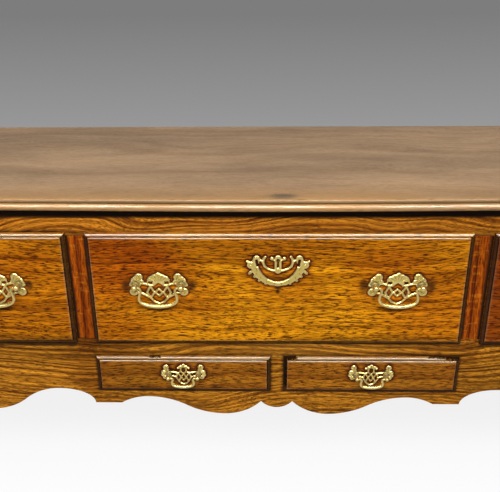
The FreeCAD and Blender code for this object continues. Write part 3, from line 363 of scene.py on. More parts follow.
FRONT_CROWDING = 1.6
TOP_STAIN = (0.008, -0.2165, 0.025, 0.0125, 0.95)
SPILL_X, SPILL_Y = -0.05, -0.12
SPILL_WIDE, SPILL_DEEP = 0.05, 0.04
SPILL_SHARE = 0.12
RUBBED_STRIP = 0.050
RUBBED_SHARE = 0.55
NICK_SHARE = 0.40
SAME_LEVEL = 0.0006
SAME_WEAR = 0.01
HAND_WAVE, HAND_DEPTH, HAND_STRETCH = 0.07, 0.0006, 9.0
STREAK_WAVE, STREAK_DEPTH, STREAK_STRETCH = 0.06, 0.45, 30.0
NICK_WAVE, NICK_STRETCH, NICK_CONTRAST, NICK_LEAST = 0.035, 40.0, 8, 5.0
INNER_ACROSS, INNER_DEEP = 40, 12
DECK_WAVE, DECK_DEPTH = 0.42, 0.0009


def top_plan(inset, a, b):
    """Points at shares a and b of the plan, when that is drawn in by an inset on the front and both ends."""
    x = top_low.x + inset + (top_high.x - top_low.x - 2 * inset) * a
    y = top_low.y + inset + (top_high.y - top_low.y - inset) * b
    return x, y


def moulded_top(across=260, deep=60):
    """Nested outlines: the plan, drawn in by each inset, set at each height, with a flat inside the last."""
    line = top_profile()
    inset, height, wear_and_sheen, dirt_and_shade = [line[:, k:k + 1] for k in range(4)]
    level = np.linspace(0, 1, across)
    inward = np.linspace(0, 1, deep) ** FRONT_CROWDING
    a = np.concatenate([level, np.ones(deep), level[::-1], np.zeros(deep), [0.0]])
    b = np.concatenate([np.zeros(across), inward, np.ones(across), inward[::-1], [0.0]])
    x, y = top_plan(inset, a, b)
    hand_worn = rolling(x, HAND_STRETCH * height, 6, HAND_WAVE, HAND_DEPTH) * (wear_and_sheen > RIM_WEAR + SAME_WEAR)
    streaky = 1 + rolling(x, STREAK_STRETCH * height, 8, STREAK_WAVE, STREAK_DEPTH)
    spot = (height > top_high.z - SAME_LEVEL) * oval_spot(x, y, *TOP_STAIN)
    nicks = np.clip(-NICK_CONTRAST * rolling(x, NICK_STRETCH * height, 9, NICK_WAVE, 1.0) - NICK_LEAST, 0, 1)
    nicks = nicks * (wear_and_sheen > RIM_WEAR - SAME_WEAR)
    rim = marked(x, y, height + droop(x, y, height) + hand_worn, wear_and_sheen * streaky * (1 - spot),
                 np.clip(dirt_and_shade + NICK_SHARE * nicks, 0, 1), spot)

    def deck(inset, height, uneven):
        """The flat inside an outline, let down by a gentle unevenness that fades at its edge."""
        u, v = np.meshgrid(level, inward, indexing="ij")
        x, y = top_plan(inset, u, v)
        inner = np.minimum(np.minimum(u, 1 - u) * INNER_ACROSS, np.minimum(v, 1 - v) * INNER_DEEP)
        z = height + np.clip(inner, 0, 1) * rolling(x, y, 5, DECK_WAVE, uneven) + droop(x, y, height)
        spill = fade(x - SPILL_X, SPILL_WIDE) * fade(y - SPILL_Y, SPILL_DEEP)
        spot = oval_spot(x, y, *TOP_STAIN)
        rubbed = RUBBED_SHARE * fade(y - top_low.y, RUBBED_STRIP) * (1 - spot)
        return marked(x, y, z, rubbed, 0.0, np.maximum(spot, SPILL_SHARE * spill))

    return [spread(rim), spread(deck(*line[-1, :2], DECK_DEPTH)), spread(deck(*line[0, :2], 0.0))]


# The top's pale, greyish colours are raised to stand for part of its sheen: a painted sheen over the oak's
# own tone.
top_oak_with_sheen = oak("waxed_top_oak_with_sheen", "along_x", (0.505, 0.320, 0.176), (0.440, 0.265, 0.139), (0.150, 0.080, 0.040),
              ring=0.016, wander=0.10, gloss=0.40, wax=0.20, rub_and_sheen=(0.41, 0.175, 0.012),
              glaze_and_shade=(0.17, 0.20, 0.25), dirt_and_shade=(0.070, 0.030, 0.003), pore_share=0.20, streak_share=0.25,
              shine=0.5, rub_and_sheen_share=1.0)
make_piece("dresser_top", moulded_top(), "carcase", top_oak_with_sheen, ["top_boards"])

# Front top rail: one long straight oak rail under the top, tenoned into the front legs.
# It was sawn near the heart, so the growth rings sweep across it in long flat arches.
# Its underside has a slot over each large drawer, for the bolt of the lock.

leg_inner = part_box("right_front_leg")[0].x
rail_low, rail_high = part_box("front_top_rail")


def rounded_loop(half_a, half_b, radius, side, corner):
    """A rounded rectangle as a closed loop: four straight sides joined by quarter circles.
    Where the half widths and the radius are arrays, there is one loop for each of their values."""
    half_a, half_b, radius = [np.asarray(value)[..., None] for value in (half_a, half_b, radius)]
    quarter = np.linspace(0, np.pi / 2, corner + 1)[1:]
    flat = np.linspace(-1, 1, side + 1)
    sides = []
    for turn, (c, s) in enumerate(((1, 0), (0, 1), (-1, 0), (0, -1))):
        long, short = (half_a, half_b) if turn % 2 == 0 else (half_b, half_a)
        x = np.concatenate([flat * (long - radius), long - radius + radius * np.sin(quarter)], axis=-1)
        y = np.concatenate([0 * flat - short, radius - short - radius * np.cos(quarter)], axis=-1)
        sides.append(np.stack([x, y], axis=-1) @ np.array([[c, s], [-s, c]]))
    loop = np.concatenate(sides, axis=-2)
    return np.concatenate([loop, loop[..., :1, :]], axis=-2)


def collapse(loop):
    """A flat cap: the closed loop drawn in to its own middle."""
    middle = loop[:-1].mean(axis=0)
    return spread(np.stack([loop, np.broadcast_to(middle, loop.shape)]))


BAR_WAVE = 0.33
THIN_HALF = 0.004
ARRIS_WEAR = 0.15


def worn_bar(low, high, run, edge=0.0012, seed=1, uneven=0.0004, steps=60, side=8):
    """A straight timber between two opposite corners: a rounded rectangle carried along its run, drawn in at
    the ends, with flat caps."""
    low, high = np.minimum(low, high), np.maximum(low, high)
    across = [k for k in range(3) if k != run]
    middle, half = ((low + high) / 2)[across], ((high - low) / 2)[across]
    turn = np.linspace(0, np.pi / 2, 5)
    start, end = low[run] + edge, high[run] - edge
    along = np.concatenate([start - edge * np.cos(turn), np.linspace(start, end, steps)[1:-1],
                            end + edge * np.cos(turn[::-1])])[:, None]
    drawn = np.concatenate([1 - np.sin(turn), np.zeros(steps - 2), 1 - np.sin(turn[::-1])])[:, None, None]
    outline = rounded_loop(*half, edge, side, 4)
    loop = outline * (1 - drawn) + rounded_loop(*(half - edge), 0.0, side, 4) * drawn
    lean = rolling(along, 3.0 * np.arctan2(outline[:, 1], outline[:, 0])[None], seed, BAR_WAVE, uneven)
    skin = np.zeros((*loop.shape[:2], 6))
    skin[..., run] = along
    skin[..., across] = middle + loop * (1 + lean[..., None] / np.maximum(half, THIN_HALF))
    skin[..., 3] = ARRIS_WEAR * np.all(np.abs(outline) > half - 1.05 * edge, axis=-1)
    return [spread(skin), collapse(skin[0]), collapse(skin[-1])]


rail_oak = oak("rail_oak", "along_x", (0.520, 0.185, 0.012), (0.170, 0.045, 0.003), (0.040, 0.007, 0.001),
               ring=0.0065, wander=0.16, shift=(0.7, 0.05, 0.31), pore_share=0.6)
SLOT_DEPTH = 0.011
SLOT_SPARE = 0.002
BLOCK_EDGE = 0.0003
slot_low, slot_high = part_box("centre_drawer_lock")
bolt_boxes = [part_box(drawer + "_lock_bolt") for drawer in ("left_drawer", "centre_drawer", "right_drawer")]
slots = [(low.x - SLOT_SPARE, high.x + SLOT_SPARE) for low, high in bolt_boxes]
slot_roof = rail_low.z + SLOT_DEPTH


def rail_block(x, y, z):
    """A plain length of the rail behind its face, between the slots or over them."""
    low, high = zip(x, y, z)
    return worn_bar(low, high, 0, edge=BLOCK_EDGE, uneven=0.0, steps=12, side=4)


top_rail = worn_bar((-leg_inner, rail_low.y, rail_low.z), (leg_inner, slot_low.y, rail_high.z), 0, seed=11,
                    steps=200, side=20)
top_rail += rail_block((-leg_inner, leg_inner), (slot_low.y, rail_high.y), (slot_roof, rail_high.z))
starts = [-leg_inner] + [end for _, end in slots]
ends = [start for start, _ in slots] + [leg_inner]
for x in zip(starts, ends):
    top_rail += rail_block(x, (slot_low.y, rail_high.y), (rail_low.z, slot_roof))
for x in slots:
    top_rail += rail_block(x, (slot_high.y, rail_high.y), (rail_low.z, slot_roof))
LIP = 0.006
# Painted shade on the rail: a shadow band under the top's overhang, and a dark line just above the drawer
# lips, darker over the left drawer.
TOP_SHADOW_BAND, TOP_SHADOW_FADE, TOP_SHADOW_SHARE = 0.0200, 0.003, 0.97
LIP_GAP_SHADE, LIP_GAP_SHADE_SHARE = 0.0045, 0.42
DARK_END, DARK_END_FADE, DARK_END_SHARE = -0.36, 0.02, 0.53
# Painted shadow under the top and painted shade above the drawer lips.
for points, _ in top_rail:
    over_lip = np.clip(points[:, 2] - rail_low.z - LIP, 0, None)
    lip_gap_shade = LIP_GAP_SHADE_SHARE + DARK_END_SHARE * climb(DARK_END - points[:, 0], DARK_END_FADE)
    top_shadow = TOP_SHADOW_SHARE * climb(points[:, 2] - rail_high.z + TOP_SHADOW_BAND, TOP_SHADOW_FADE)
    points[:, 4] = np.maximum(top_shadow, lip_gap_shade * fade(over_lip, LIP_GAP_SHADE))
make_piece("top_rail", top_rail, "carcase", rail_oak, ["front_top_rail"])

# Drawer muntins: two short uprights between the three drawers, tenoned into the rail and the apron.
# They are quarter-sawn, so pale rays run across the grain in rows, and they have gone a redder brown.

MUNTIN_WIDTH = 0.046
muntin_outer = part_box("drawer_muntins")[1].x
apron_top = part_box("front_apron")[1].z
muntin_oak = oak("muntin_oak", "upright", (0.370, 0.073, 0.002), (0.165, 0.025, 0.001), (0.030, 0.004, 0.001),
                 ring=0.009, wander=0.02, fleck=0.45, rub_and_sheen=(0.56, 0.17, 0.01), pore_share=0.7)
OUTER_SHADE, OUTER_SHARE = 0.0062, 0.98
INNER_SHADE, INNER_SHARE = 0.0050, 0.85
SHADE_FADE = 0.0030
muntin_pair = []
for left, seed in ((muntin_outer - MUNTIN_WIDTH, 21), (-muntin_outer, 22)):
    muntin_pair += worn_bar((left, rail_low.y, apron_top), (left + MUNTIN_WIDTH, rail_high.y, rail_low.z), 2,
                            seed=seed, side=46)
for points, _ in muntin_pair:
    aside = np.abs(points[:, 0])
    outward = climb(aside - muntin_outer + LIP + OUTER_SHADE, SHADE_FADE)
    inward = climb(muntin_outer - MUNTIN_WIDTH + LIP + INNER_SHADE - aside, SHADE_FADE)
    points[:, 4] = np.maximum(OUTER_SHARE * outward, INNER_SHARE * inward)
make_piece("muntins", muntin_pair, "carcase", muntin_oak, ["drawer_muntins"])

# Apron: one wide oak board across the whole front, tenoned into the legs, its lower edge sawn to a
# line of lobes, hollows and little pendants. Two oblong openings are cut through it for the small drawers.

apron_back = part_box("front_apron")[1].y
MID_RAIL = 0.041
SMALL_HEIGHT = 0.062
SMALL_INNER = 0.018
SMALL_OUTER = 0.322
MUNTIN_LINE = muntin_outer - MUNTIN_WIDTH / 2
BAY_LINE = (muntin_outer + leg_inner) / 2
small_top = apron_top - MID_RAIL
small_floor = small_top - SMALL_HEIGHT
CUSP = 0.029
LOBE = 0.096
CROWN = 0.240
FLAT_START = MUNTIN_LINE - 0.052
FLAT_END = MUNTIN_LINE - 0.003
DROP_LEVEL = -0.1485
CUSP_LEVEL = -0.135
LOBE_LEVEL = -0.1635
CROWN_LEVEL = -0.1255
FLAT_LEVEL = -0.140
BAY_POINTS = ((-0.219, -0.108), (-0.090, -0.155), (-CUSP, -0.128), (0, -0.1415), (CUSP, -0.128),
              (0.090, -0.155), (0.219, -0.108))


def level_arc(x, flat, other):
    """Heights on the circle that is level at the flat point and passes through the other point."""
    run, rise = other[0] - flat[0], other[1] - flat[1]
    radius = (run * run + rise * rise) / (2 * abs(rise))
    inside = np.maximum(radius ** 2 - (x - flat[0]) ** 2, 0)
    return flat[1] + np.sign(rise) * (radius - np.sqrt(inside))


def quarter_oval(x, crown, foot):
    """Heights on a quarter ellipse that is level at the crown and upright at the foot."""
    inside = np.maximum(1 - ((x - crown[0]) / (foot[0] - crown[0])) ** 2, 0)
    return foot[1] + (crown[1] - foot[1]) * np.sqrt(inside)


def apron_edge(x):
    """The sawn lower edge at each x: arcs between cusps, lobes and crowns, the same on both halves."""
    x = np.abs(x)
    drop, cusp, lobe, crown = (0.0, DROP_LEVEL), (CUSP, CUSP_LEVEL), (LOBE, LOBE_LEVEL), (CROWN, CROWN_LEVEL)
    flat_in, flat_out, leg = [(place, FLAT_LEVEL) for place in (FLAT_START, FLAT_END, leg_inner)]
    bay = [(BAY_LINE + dx, z) for dx, z in BAY_POINTS]

    def ogee(a, b):
        """Two like arcs, level at the ends a and b, that meet half way."""
        middle = ((a[0] + b[0]) / 2, (a[1] + b[1]) / 2)
        return [(a[0], level_arc(x, a, middle)), (middle[0], level_arc(x, b, middle))]

    runs = [(0.0, level_arc(x, drop, cusp)), (cusp[0], level_arc(x, lobe, cusp)), *ogee(lobe, crown)]
    runs += [(crown[0], level_arc(x, crown, flat_in)), (flat_in[0], np.full_like(x, flat_in[1]))]
    runs += [(flat_out[0], quarter_oval(x, bay[0], flat_out)), *ogee(bay[0], bay[1])]
    runs += [(bay[1][0], level_arc(x, bay[1], bay[2])), (bay[2][0], level_arc(x, bay[3], bay[2]))]
    runs += [(bay[3][0], level_arc(x, bay[3], bay[4])), (bay[4][0], level_arc(x, bay[5], bay[4]))]
    runs += [*ogee(bay[5], bay[6]), (bay[6][0], quarter_oval(x, bay[6], leg))]
    starts = np.array([start for start, _ in runs])
    heights = np.stack([z for _, z in runs])
    which = np.clip(np.searchsorted(starts, x, side="right") - 1, 0, len(runs) - 1)
    return apron_top + np.take_along_axis(heights, which[None], axis=0)[0]


def slab(face, back, keep):
    """Two like grids, one behind the other, with walls wherever a kept cell meets a dropped one."""
    rows, columns = face.shape[:2]
    total = rows * columns
    cells = grid_cells(rows, columns)
    around = np.pad(keep, 1)
    quads = [cells[keep], cells[keep][:, ::-1] + total]
    for a, b, di, dj in ((0, 1, 0, -1), (1, 2, 1, 0), (2, 3, 0, 1), (3, 0, -1, 0)):
        rim = cells[keep & ~around[1 + di:rows + di, 1 + dj:columns + dj]]
        quads.append(np.stack([rim[:, b], rim[:, a], rim[:, a] + total, rim[:, b] + total], axis=-1))
    return np.concatenate([face.reshape(total, -1), back.reshape(total, -1)]), np.concatenate(quads)


def inside_of(x, z, x0, x1, z0, z1):
    """How far inside a rectangle each point lies, from its nearest side; it is negative outside."""
    return np.minimum(np.minimum(x - x0, x1 - x), np.minimum(z - z0, z1 - z))


FOOT_STEPS = np.array([0, 0.0001, 0.0004, 0.001, 0.002, 0.0035, 0.005, 0.007])
END_STEPS = np.array([0.0001, 0.0005, 0.0012, 0.0025, 0.004])
APRON_PITCH = 0.003
EDGE_ROWS, OPENING_ROWS, RAIL_ROWS = 22, 19, 15
RUBBED_EDGE, RUBBED_EDGE_SHARE = 0.0025, 0.2
SHADED_EDGE, SHADED_EDGE_SHARE = 0.010, 0.40
RAIL_FADE = 0.004
PALE_PLACE, PALE_REACH, PALE_SHARE = 0.02, 0.17, 0.40
CORNER_DARKENING = ((-1, 0.90), (1, 0.15))
BESIDE_OUT, BESIDE_LEVEL, BESIDE_WIDE, BESIDE_TALL, BESIDE_SHARE = 0.350, 0.500, 0.045, 0.070, 0.80
CORNER_OUT = 0.345
CORNER_SPOT = (0.470, 0.032, 0.036, 1.0)
TRAIL_LENGTH, TRAIL_HALF, TRAIL_FADE, TRAIL_SHARE = 0.060, 0.022, 0.006, 0.90
SHADOW_START, SHADOW_FADE, SHADOW_END, SHADOW_SHARE = 0.23, 0.04, 0.33, 0.55
SPLIT_LEVEL, SPLIT_HALF, SPLIT_DEPTH, SPLIT_PAST, SPLIT_SHARE = 0.5005, 0.0016, 0.0007, 0.004, 0.85
# Painted shade round the small drawers' lips and painted shadow under the large drawers' lips.
OPENING_SHADE, OPENING_SHADE_SHARE = 0.0034, 0.85
UNDER_LIP_SHADOW, UNDER_LIP_SHADOW_SHARE = 0.0055, 0.90
SIDE_SHADOW_BAND, SIDE_SHADOW_FADE, SIDE_SHADOW_START, SIDE_SHADOW_SHARE = 0.0180, 0.0020, 0.004, 0.80
APRON_WAVE, APRON_DEPTH = 0.5, 0.0006


def apron_board():
    """Columns along the front and rows from the sawn edge up, with the two openings left out. Painted shade
    lies round the openings, under the lips of the drawers and towards the sawn edge, the board is darker
    beside the small drawers, and dirt lies in a split between the small drawers."""
    breaks = [CUSP, LOBE, CROWN, FLAT_START, SMALL_INNER, SMALL_OUTER, leg_inner, BAY_LINE - CUSP,
              BAY_LINE + CUSP]
    columns = [np.arange(0, leg_inner, APRON_PITCH), breaks, FLAT_END + FOOT_STEPS, leg_inner - END_STEPS]
    half = np.unique(np.round(np.concatenate(columns), 6))
    x = np.concatenate([-half[:0:-1], half])
    low = apron_edge(x)[:, None]
    lower = low + (small_floor - low) * np.linspace(0, 1, EDGE_ROWS)
    upper = np.concatenate([np.linspace(small_floor, small_top, OPENING_ROWS)[1:],
                            np.linspace(small_top, apron_top, RAIL_ROWS)[1:]])
    z = np.concatenate([lower, np.tile(upper, (len(x), 1))], axis=1)
    xx = np.broadcast_to(x[:, None], z.shape)
    aside, below = np.abs(xx), apron_top - z
    at_rail = climb(z - small_top, RAIL_FADE)
    pale = PALE_SHARE * at_rail * fade(xx - PALE_PLACE, PALE_REACH)
    wear_and_sheen = np.maximum(RUBBED_EDGE_SHARE * np.exp(-(z - low) / RUBBED_EDGE), pale)
    # Painted shade darkens the board towards its sawn lower edge.
    stain_and_shade = SHADED_EDGE_SHARE * np.exp(-(z - low) / SHADED_EDGE)
    # The board is darker beside the outer ends of the small drawers, most on the left.
    for side, share in CORNER_DARKENING:
        beside = fade(xx - side * BESIDE_OUT, BESIDE_WIDE) * fade(z - BESIDE_LEVEL, BESIDE_TALL)
        corner = oval_spot(xx, z, side * CORNER_OUT, *CORNER_SPOT)
        stain_and_shade = np.maximum(stain_and_shade, share * np.maximum(BESIDE_SHARE * beside, corner))
    off_muntin = np.abs(aside - MUNTIN_LINE)
    trail = TRAIL_SHARE * fade(below, TRAIL_LENGTH) * climb(TRAIL_HALF - off_muntin, TRAIL_FADE)
    shadow = SHADOW_SHARE * at_rail * climb(aside - SHADOW_START, SHADOW_FADE) * (aside < SHADOW_END)
    stain_and_shade = np.maximum(stain_and_shade, np.maximum(trail, shadow))
    split = fade(z - SPLIT_LEVEL, SPLIT_HALF) * (aside < SMALL_INNER + SPLIT_PAST)
    gap = -inside_of(aside, z, SMALL_INNER, SMALL_OUTER, small_floor, small_top)
    # Painted shade round the small drawers' lips, and dirt in the split.
    grime_and_shade = OPENING_SHADE_SHARE * fade(np.maximum(gap - LIP, 0), OPENING_SHADE) + SPLIT_SHARE * split
    lipped = off_muntin >= MUNTIN_WIDTH / 2 - LIP
    # Painted shadow under the lips of the large drawers.
    grime_and_shade += UNDER_LIP_SHADOW_SHARE * fade(np.maximum(below - LIP, 0), UNDER_LIP_SHADOW) * lipped
    # Painted shadow in a band under each side drawer.
    side_shadow = SIDE_SHADOW_SHARE * climb(aside - muntin_outer + LIP, SIDE_SHADOW_START)
    grime_and_shade = np.maximum(grime_and_shade, side_shadow * climb(SIDE_SHADOW_BAND - below, SIDE_SHADOW_FADE))
    y = front - rolling(xx, z * 3, 31, APRON_WAVE, APRON_DEPTH) + SPLIT_DEPTH * split
    centre_x = (aside[:-1, :1] + aside[1:, :1]) / 2
    centre_z = (z[:-1, :-1] + z[:-1, 1:]) / 2
    hole = inside_of(centre_x, centre_z, SMALL_INNER, SMALL_OUTER, small_floor, small_top) > 0
    return slab(marked(xx, y, z, wear_and_sheen, np.clip(grime_and_shade, 0, 1), stain_and_shade), marked(xx, apron_back, z), ~hole)


apron_oak = oak("apron_oak", "along_x", (0.630, 0.252, 0.017), (0.180, 0.055, 0.004), (0.040, 0.009, 0.001),
                ring=0.0054, wander=0.09, shift=(0.2, 0.4, 0.1), glaze_and_shade=(0.35, 0.24, 0.24), pore_share=0.75)
make_piece("apron", [apron_board()], "carcase", apron_oak, ["front_apron"])

# Front legs: post and cabriole leg cut from one thick oak timber, with a turned pad foot.
# The knee swells forward and outward below the frame, and the shin draws in to a slim ankle.

FOOT_HEIGHT = 0.022
KNEE_TOP = apron_top - 0.100
POST_HALF = 0.027
POST_EDGE = 0.0014
LEG_STEPS = 70
PAD_OUT = 0.012
PAD_DIRT, PAD_DIRT_SHARE = 0.004, 0.5
LEAST_ROUND, MOST_ROUND = 0.05, 0.95
CRISP_EDGE, ARRIS_START, LEG_WEAR = 0.1, 0.9, 0.25
STATIONS = np.array([
    (0.00, 9.0, 20.0, 0.90), (0.08, 4.0, 16.0, 0.85), (0.18, -2.0, 14.5, 0.80), (0.32, -4.0, 15.5, 0.70),
    (0.48, -1.0, 18.0, 0.60), (0.64, 5.0, 21.5, 0.50), (0.78, 11.0, 25.5, 0.40), (0.89, 13.0, 28.5, 0.30),
    (0.96, 8.0, 28.5, 0.18), (1.00, 0.0, 27.0, 0.05)])
PAD_LINE = np.array([
    (0.0, 0.0), (0.020, 0.0), (0.026, 0.0), (0.0295, 0.0018), (0.0325, 0.0050), (0.034, 0.0088),
    (0.0335, 0.0125), (0.0310, 0.0165), (0.0265, 0.0200), (0.0220, 0.0220), (0.0, 0.0225)])


def through(knots, values, at):
    """A natural cubic curve through the knots: the second slopes solve the usual three-term equations."""
    step = np.diff(knots)
    count = len(knots)
    weights = np.eye(count)
    rises = np.zeros_like(values)
    inner = np.arange(1, count - 1)
    weights[inner, inner - 1] = step[:-1]
    weights[inner, inner] = 2 * (step[:-1] + step[1:])
    weights[inner, inner + 1] = step[1:]
    slopes = np.diff(values, axis=0) / step[:, None]
    rises[1:-1] = 6 * np.diff(slopes, axis=0)
    second = np.linalg.solve(weights, rises)
    k = np.clip(np.searchsorted(knots, at, side="right") - 1, 0, count - 2)
    h = step[k][:, None]
    a, b = (knots[k + 1] - at)[:, None] / h, (at - knots[k])[:, None] / h
    bend = (a ** 3 - a) * second[k] + (b ** 3 - b) * second[k + 1]
    return a * values[k] + b * values[k + 1] + bend * h ** 2 / 6


def cabriole_leg(side):
    """Rounded squares stacked from ankle to top: lean, width and roundness follow smooth curves through the
    stations, given by height, and the pad is turned from radii at heights."""
    share = np.linspace(0, 1, LEG_STEPS)
    lean, half, roundness = through(STATIONS[:, 0], STATIONS[:, 1:], share).T
    post = np.linspace(KNEE_TOP, rail_high.z, 24)[1:]
    z = np.concatenate([FOOT_HEIGHT + share * (KNEE_TOP - FOOT_HEIGHT), post])[:, None]
    lean = np.concatenate([lean * MM, 0 * post])[:, None]
    radius = half * MM * np.clip(roundness, LEAST_ROUND, MOST_ROUND)
    radius = np.concatenate([radius, np.full(len(post), POST_EDGE)])
    half = np.concatenate([half * MM, np.full(len(post), POST_HALF)])
    x, y = side * (leg_inner + POST_HALF), front + POST_HALF
    loop = rounded_loop(half, half, radius, 6, 8)
    arris = (radius / half < CRISP_EDGE)[:, None] & (np.abs(loop).min(axis=-1) > half[:, None] * ARRIS_START)
    leg = marked(x + side * lean + loop[..., 0], y - lean + loop[..., 1], z, LEG_WEAR * arris)
    turn = np.linspace(0, 2 * np.pi, 49)
    radius, height = PAD_LINE[:, :1], PAD_LINE[:, 1:]
    pad = marked(x + side * PAD_OUT + radius * np.cos(turn), y - PAD_OUT + radius * np.sin(turn), height,
                 grime_and_shade=PAD_DIRT_SHARE * (height < PAD_DIRT))
    return [spread(leg), collapse(leg[-1]), collapse(leg[0]), spread(pad)]


leg_oak = oak("leg_oak", "upright", (0.330, 0.120, 0.025), (0.180, 0.058, 0.012), (0.050, 0.014, 0.004),
              ring=0.009, wander=0.05, fleck=0.15)
for side, hand in ((-1, "left"), (1, "right")):
    make_piece(hand + "_cabriole_leg", cabriole_leg(side), "carcase", leg_oak,
               [hand + "_front_leg"])

# Back legs: two plain square oak posts from floor to top, with the back boards nailed into a step.
# They were never meant to be seen, so they are only planed and have kept a plain, dull brown.

back_low, back_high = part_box("back_legs")
BOARD_STEP = 0.012
board_low, board_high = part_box("back_boards")


def stepped_post(side):
    """An upright whose plan is a square with one corner stepped back where the boards lie."""
    inner, outer = side * leg_inner, side * (leg_inner + 2 * POST_HALF)
    step = inner + side * BOARD_STEP
    foot = worn_bar((inner, back_low.y, 0.0), (outer, back_high.y, board_low.z), 2, seed=41)
    outer_part = worn_bar((step, back_low.y, board_low.z), (outer, back_high.y, back_high.z), 2, seed=42)
    lip = worn_bar((inner, back_low.y, board_low.z), (step, board_low.y, back_high.z), 2, seed=43)
    return foot + outer_part + lip


plain_oak = oak("plain_oak", "upright", (0.300, 0.135, 0.045), (0.170, 0.070, 0.022), (0.050, 0.018, 0.006),
                ring=0.010, wander=0.06, gloss=0.5, wax=0.05)
make_piece("back_posts", stepped_post(-1) + stepped_post(1), "carcase", plain_oak,
           ["back_legs"])

# Ends: at each side a plain top rail, a lower rail sawn to a shallow arch, and a thin panel in grooves.
# The panel floats so that it can shrink, and its grain stands upright between the rails.

end_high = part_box("end_rails")[1]
panel_low, panel_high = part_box("end_panels")
END_THICK = 0.022
END_TOP = 0.060
END_BOTTOM = 0.130
ARCH_RISE = 0.030
ARCH_MARGIN = 0.040
ARCH_WEAR, ARCH_WEAR_SHARE = 0.003, 0.5
END_WAVE, END_DEPTH = 0.3, 0.0004
end_y = (front + 2 * POST_HALF, back_low.y)
end_oak = oak("end_oak", "along_y", (0.350, 0.135, 0.030), (0.190, 0.066, 0.014), (0.050, 0.015, 0.004),
              ring=0.011, wander=0.09)


def arched_rail(side):
    """A rail whose lower edge rises in one arc between level ends, as columns from front to back."""
    middle, half = sum(end_y) / 2, (end_y[1] - end_y[0]) / 2 - ARCH_MARGIN
    y = np.unique(np.concatenate([np.linspace(*end_y, 90), [middle - half, middle + half]]))[:, None]
    rise = level_arc(y, (middle, ARCH_RISE), (middle + half, 0.0))
    low = apron_top - END_BOTTOM + np.where(np.abs(y - middle) < half, rise, 0.0)
    z = low + (apron_top - low) * np.linspace(0, 1, 20)
    outside = end_high.x + rolling(y, z, 51, END_WAVE, END_DEPTH)
    face = marked(side * outside, y, z, ARCH_WEAR_SHARE * np.exp(-(z - low) / ARCH_WEAR))
    return slab(face, marked(side * (end_high.x - END_THICK), y, z), np.full(np.subtract(z.shape, 1), True))


end_pieces = []
for side in (-1, 1):
    end_pieces += worn_bar((side * (end_high.x - END_THICK), end_y[0], rail_high.z - END_TOP),
                           (side * end_high.x, end_y[1], rail_high.z), 1, seed=52)
    end_pieces.append(arched_rail(side))
make_piece("end_frames", end_pieces, "carcase", end_oak, ["end_rails"])

panel_oak = oak("panel_oak", "upright", (0.360, 0.140, 0.030), (0.195, 0.068, 0.014), (0.052, 0.015, 0.004),
                ring=0.014, wander=0.14, fleck=0.10)
PANEL_THICK = 0.009
panels = []
for side in (-1, 1):
    panels += worn_bar((side * (panel_high.x - PANEL_THICK), panel_low.y, panel_low.z),
                       (side * panel_high.x, panel_high.y, panel_high.z), 2, seed=55)
make_piece("end_boards", panels, "carcase", panel_oak, ["end_panels"])

# Back: three wide riven boards nailed into the step of the back legs, over two oak rails.
# They are bare and dry, with gaps where they have shrunk, and were never polished.

bare_oak = oak("bare_oak", "along_x", (0.330, 0.215, 0.120), (0.205, 0.125, 0.066), (0.070, 0.040, 0.020),
               ring=0.018, wander=0.16, gloss=0.62, wax=0.0, shift=(0.3, 0.0, 0.2))
BOARD_COUNT = 3
SHRINK_GAP = 0.0006
board_height = (board_high.z - board_low.z) / BOARD_COUNT
backs = []
for k in range(BOARD_COUNT):
    bottom = board_low.z + k * board_height
    top = bottom + board_height - SHRINK_GAP
    backs += worn_bar((board_low.x, board_low.y, bottom + SHRINK_GAP), (board_high.x, board_high.y, top), 0,
                      edge=0.002, seed=60 + k, uneven=0.0008, steps=120)
make_piece("back_planks", backs, "carcase", bare_oak, ["back_boards"])

inner_oak = oak("inner_oak", "along_y", (0.340, 0.215, 0.115), (0.215, 0.128, 0.064), (0.075, 0.042, 0.020),
                ring=0.012, wander=0.06, gloss=0.6, wax=0.0)


def finish_node(node, material):
    """Gives a CAD piece that is seen as it is its own finish."""
    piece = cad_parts[node]
    piece.data.materials.clear()
    piece.data.materials.append(material)


finish_node("back_rails", bare_oak)
for node in ("drawer_runners", "drawer_guides_and_kickers"):
    finish_node(node, inner_oak)

# Drawer fronts: thick oak with a thumb-moulded lip all round that laps over the frame.
# A quirk divides the lip from the raised field. The small fronts have lost slivers of their lips.

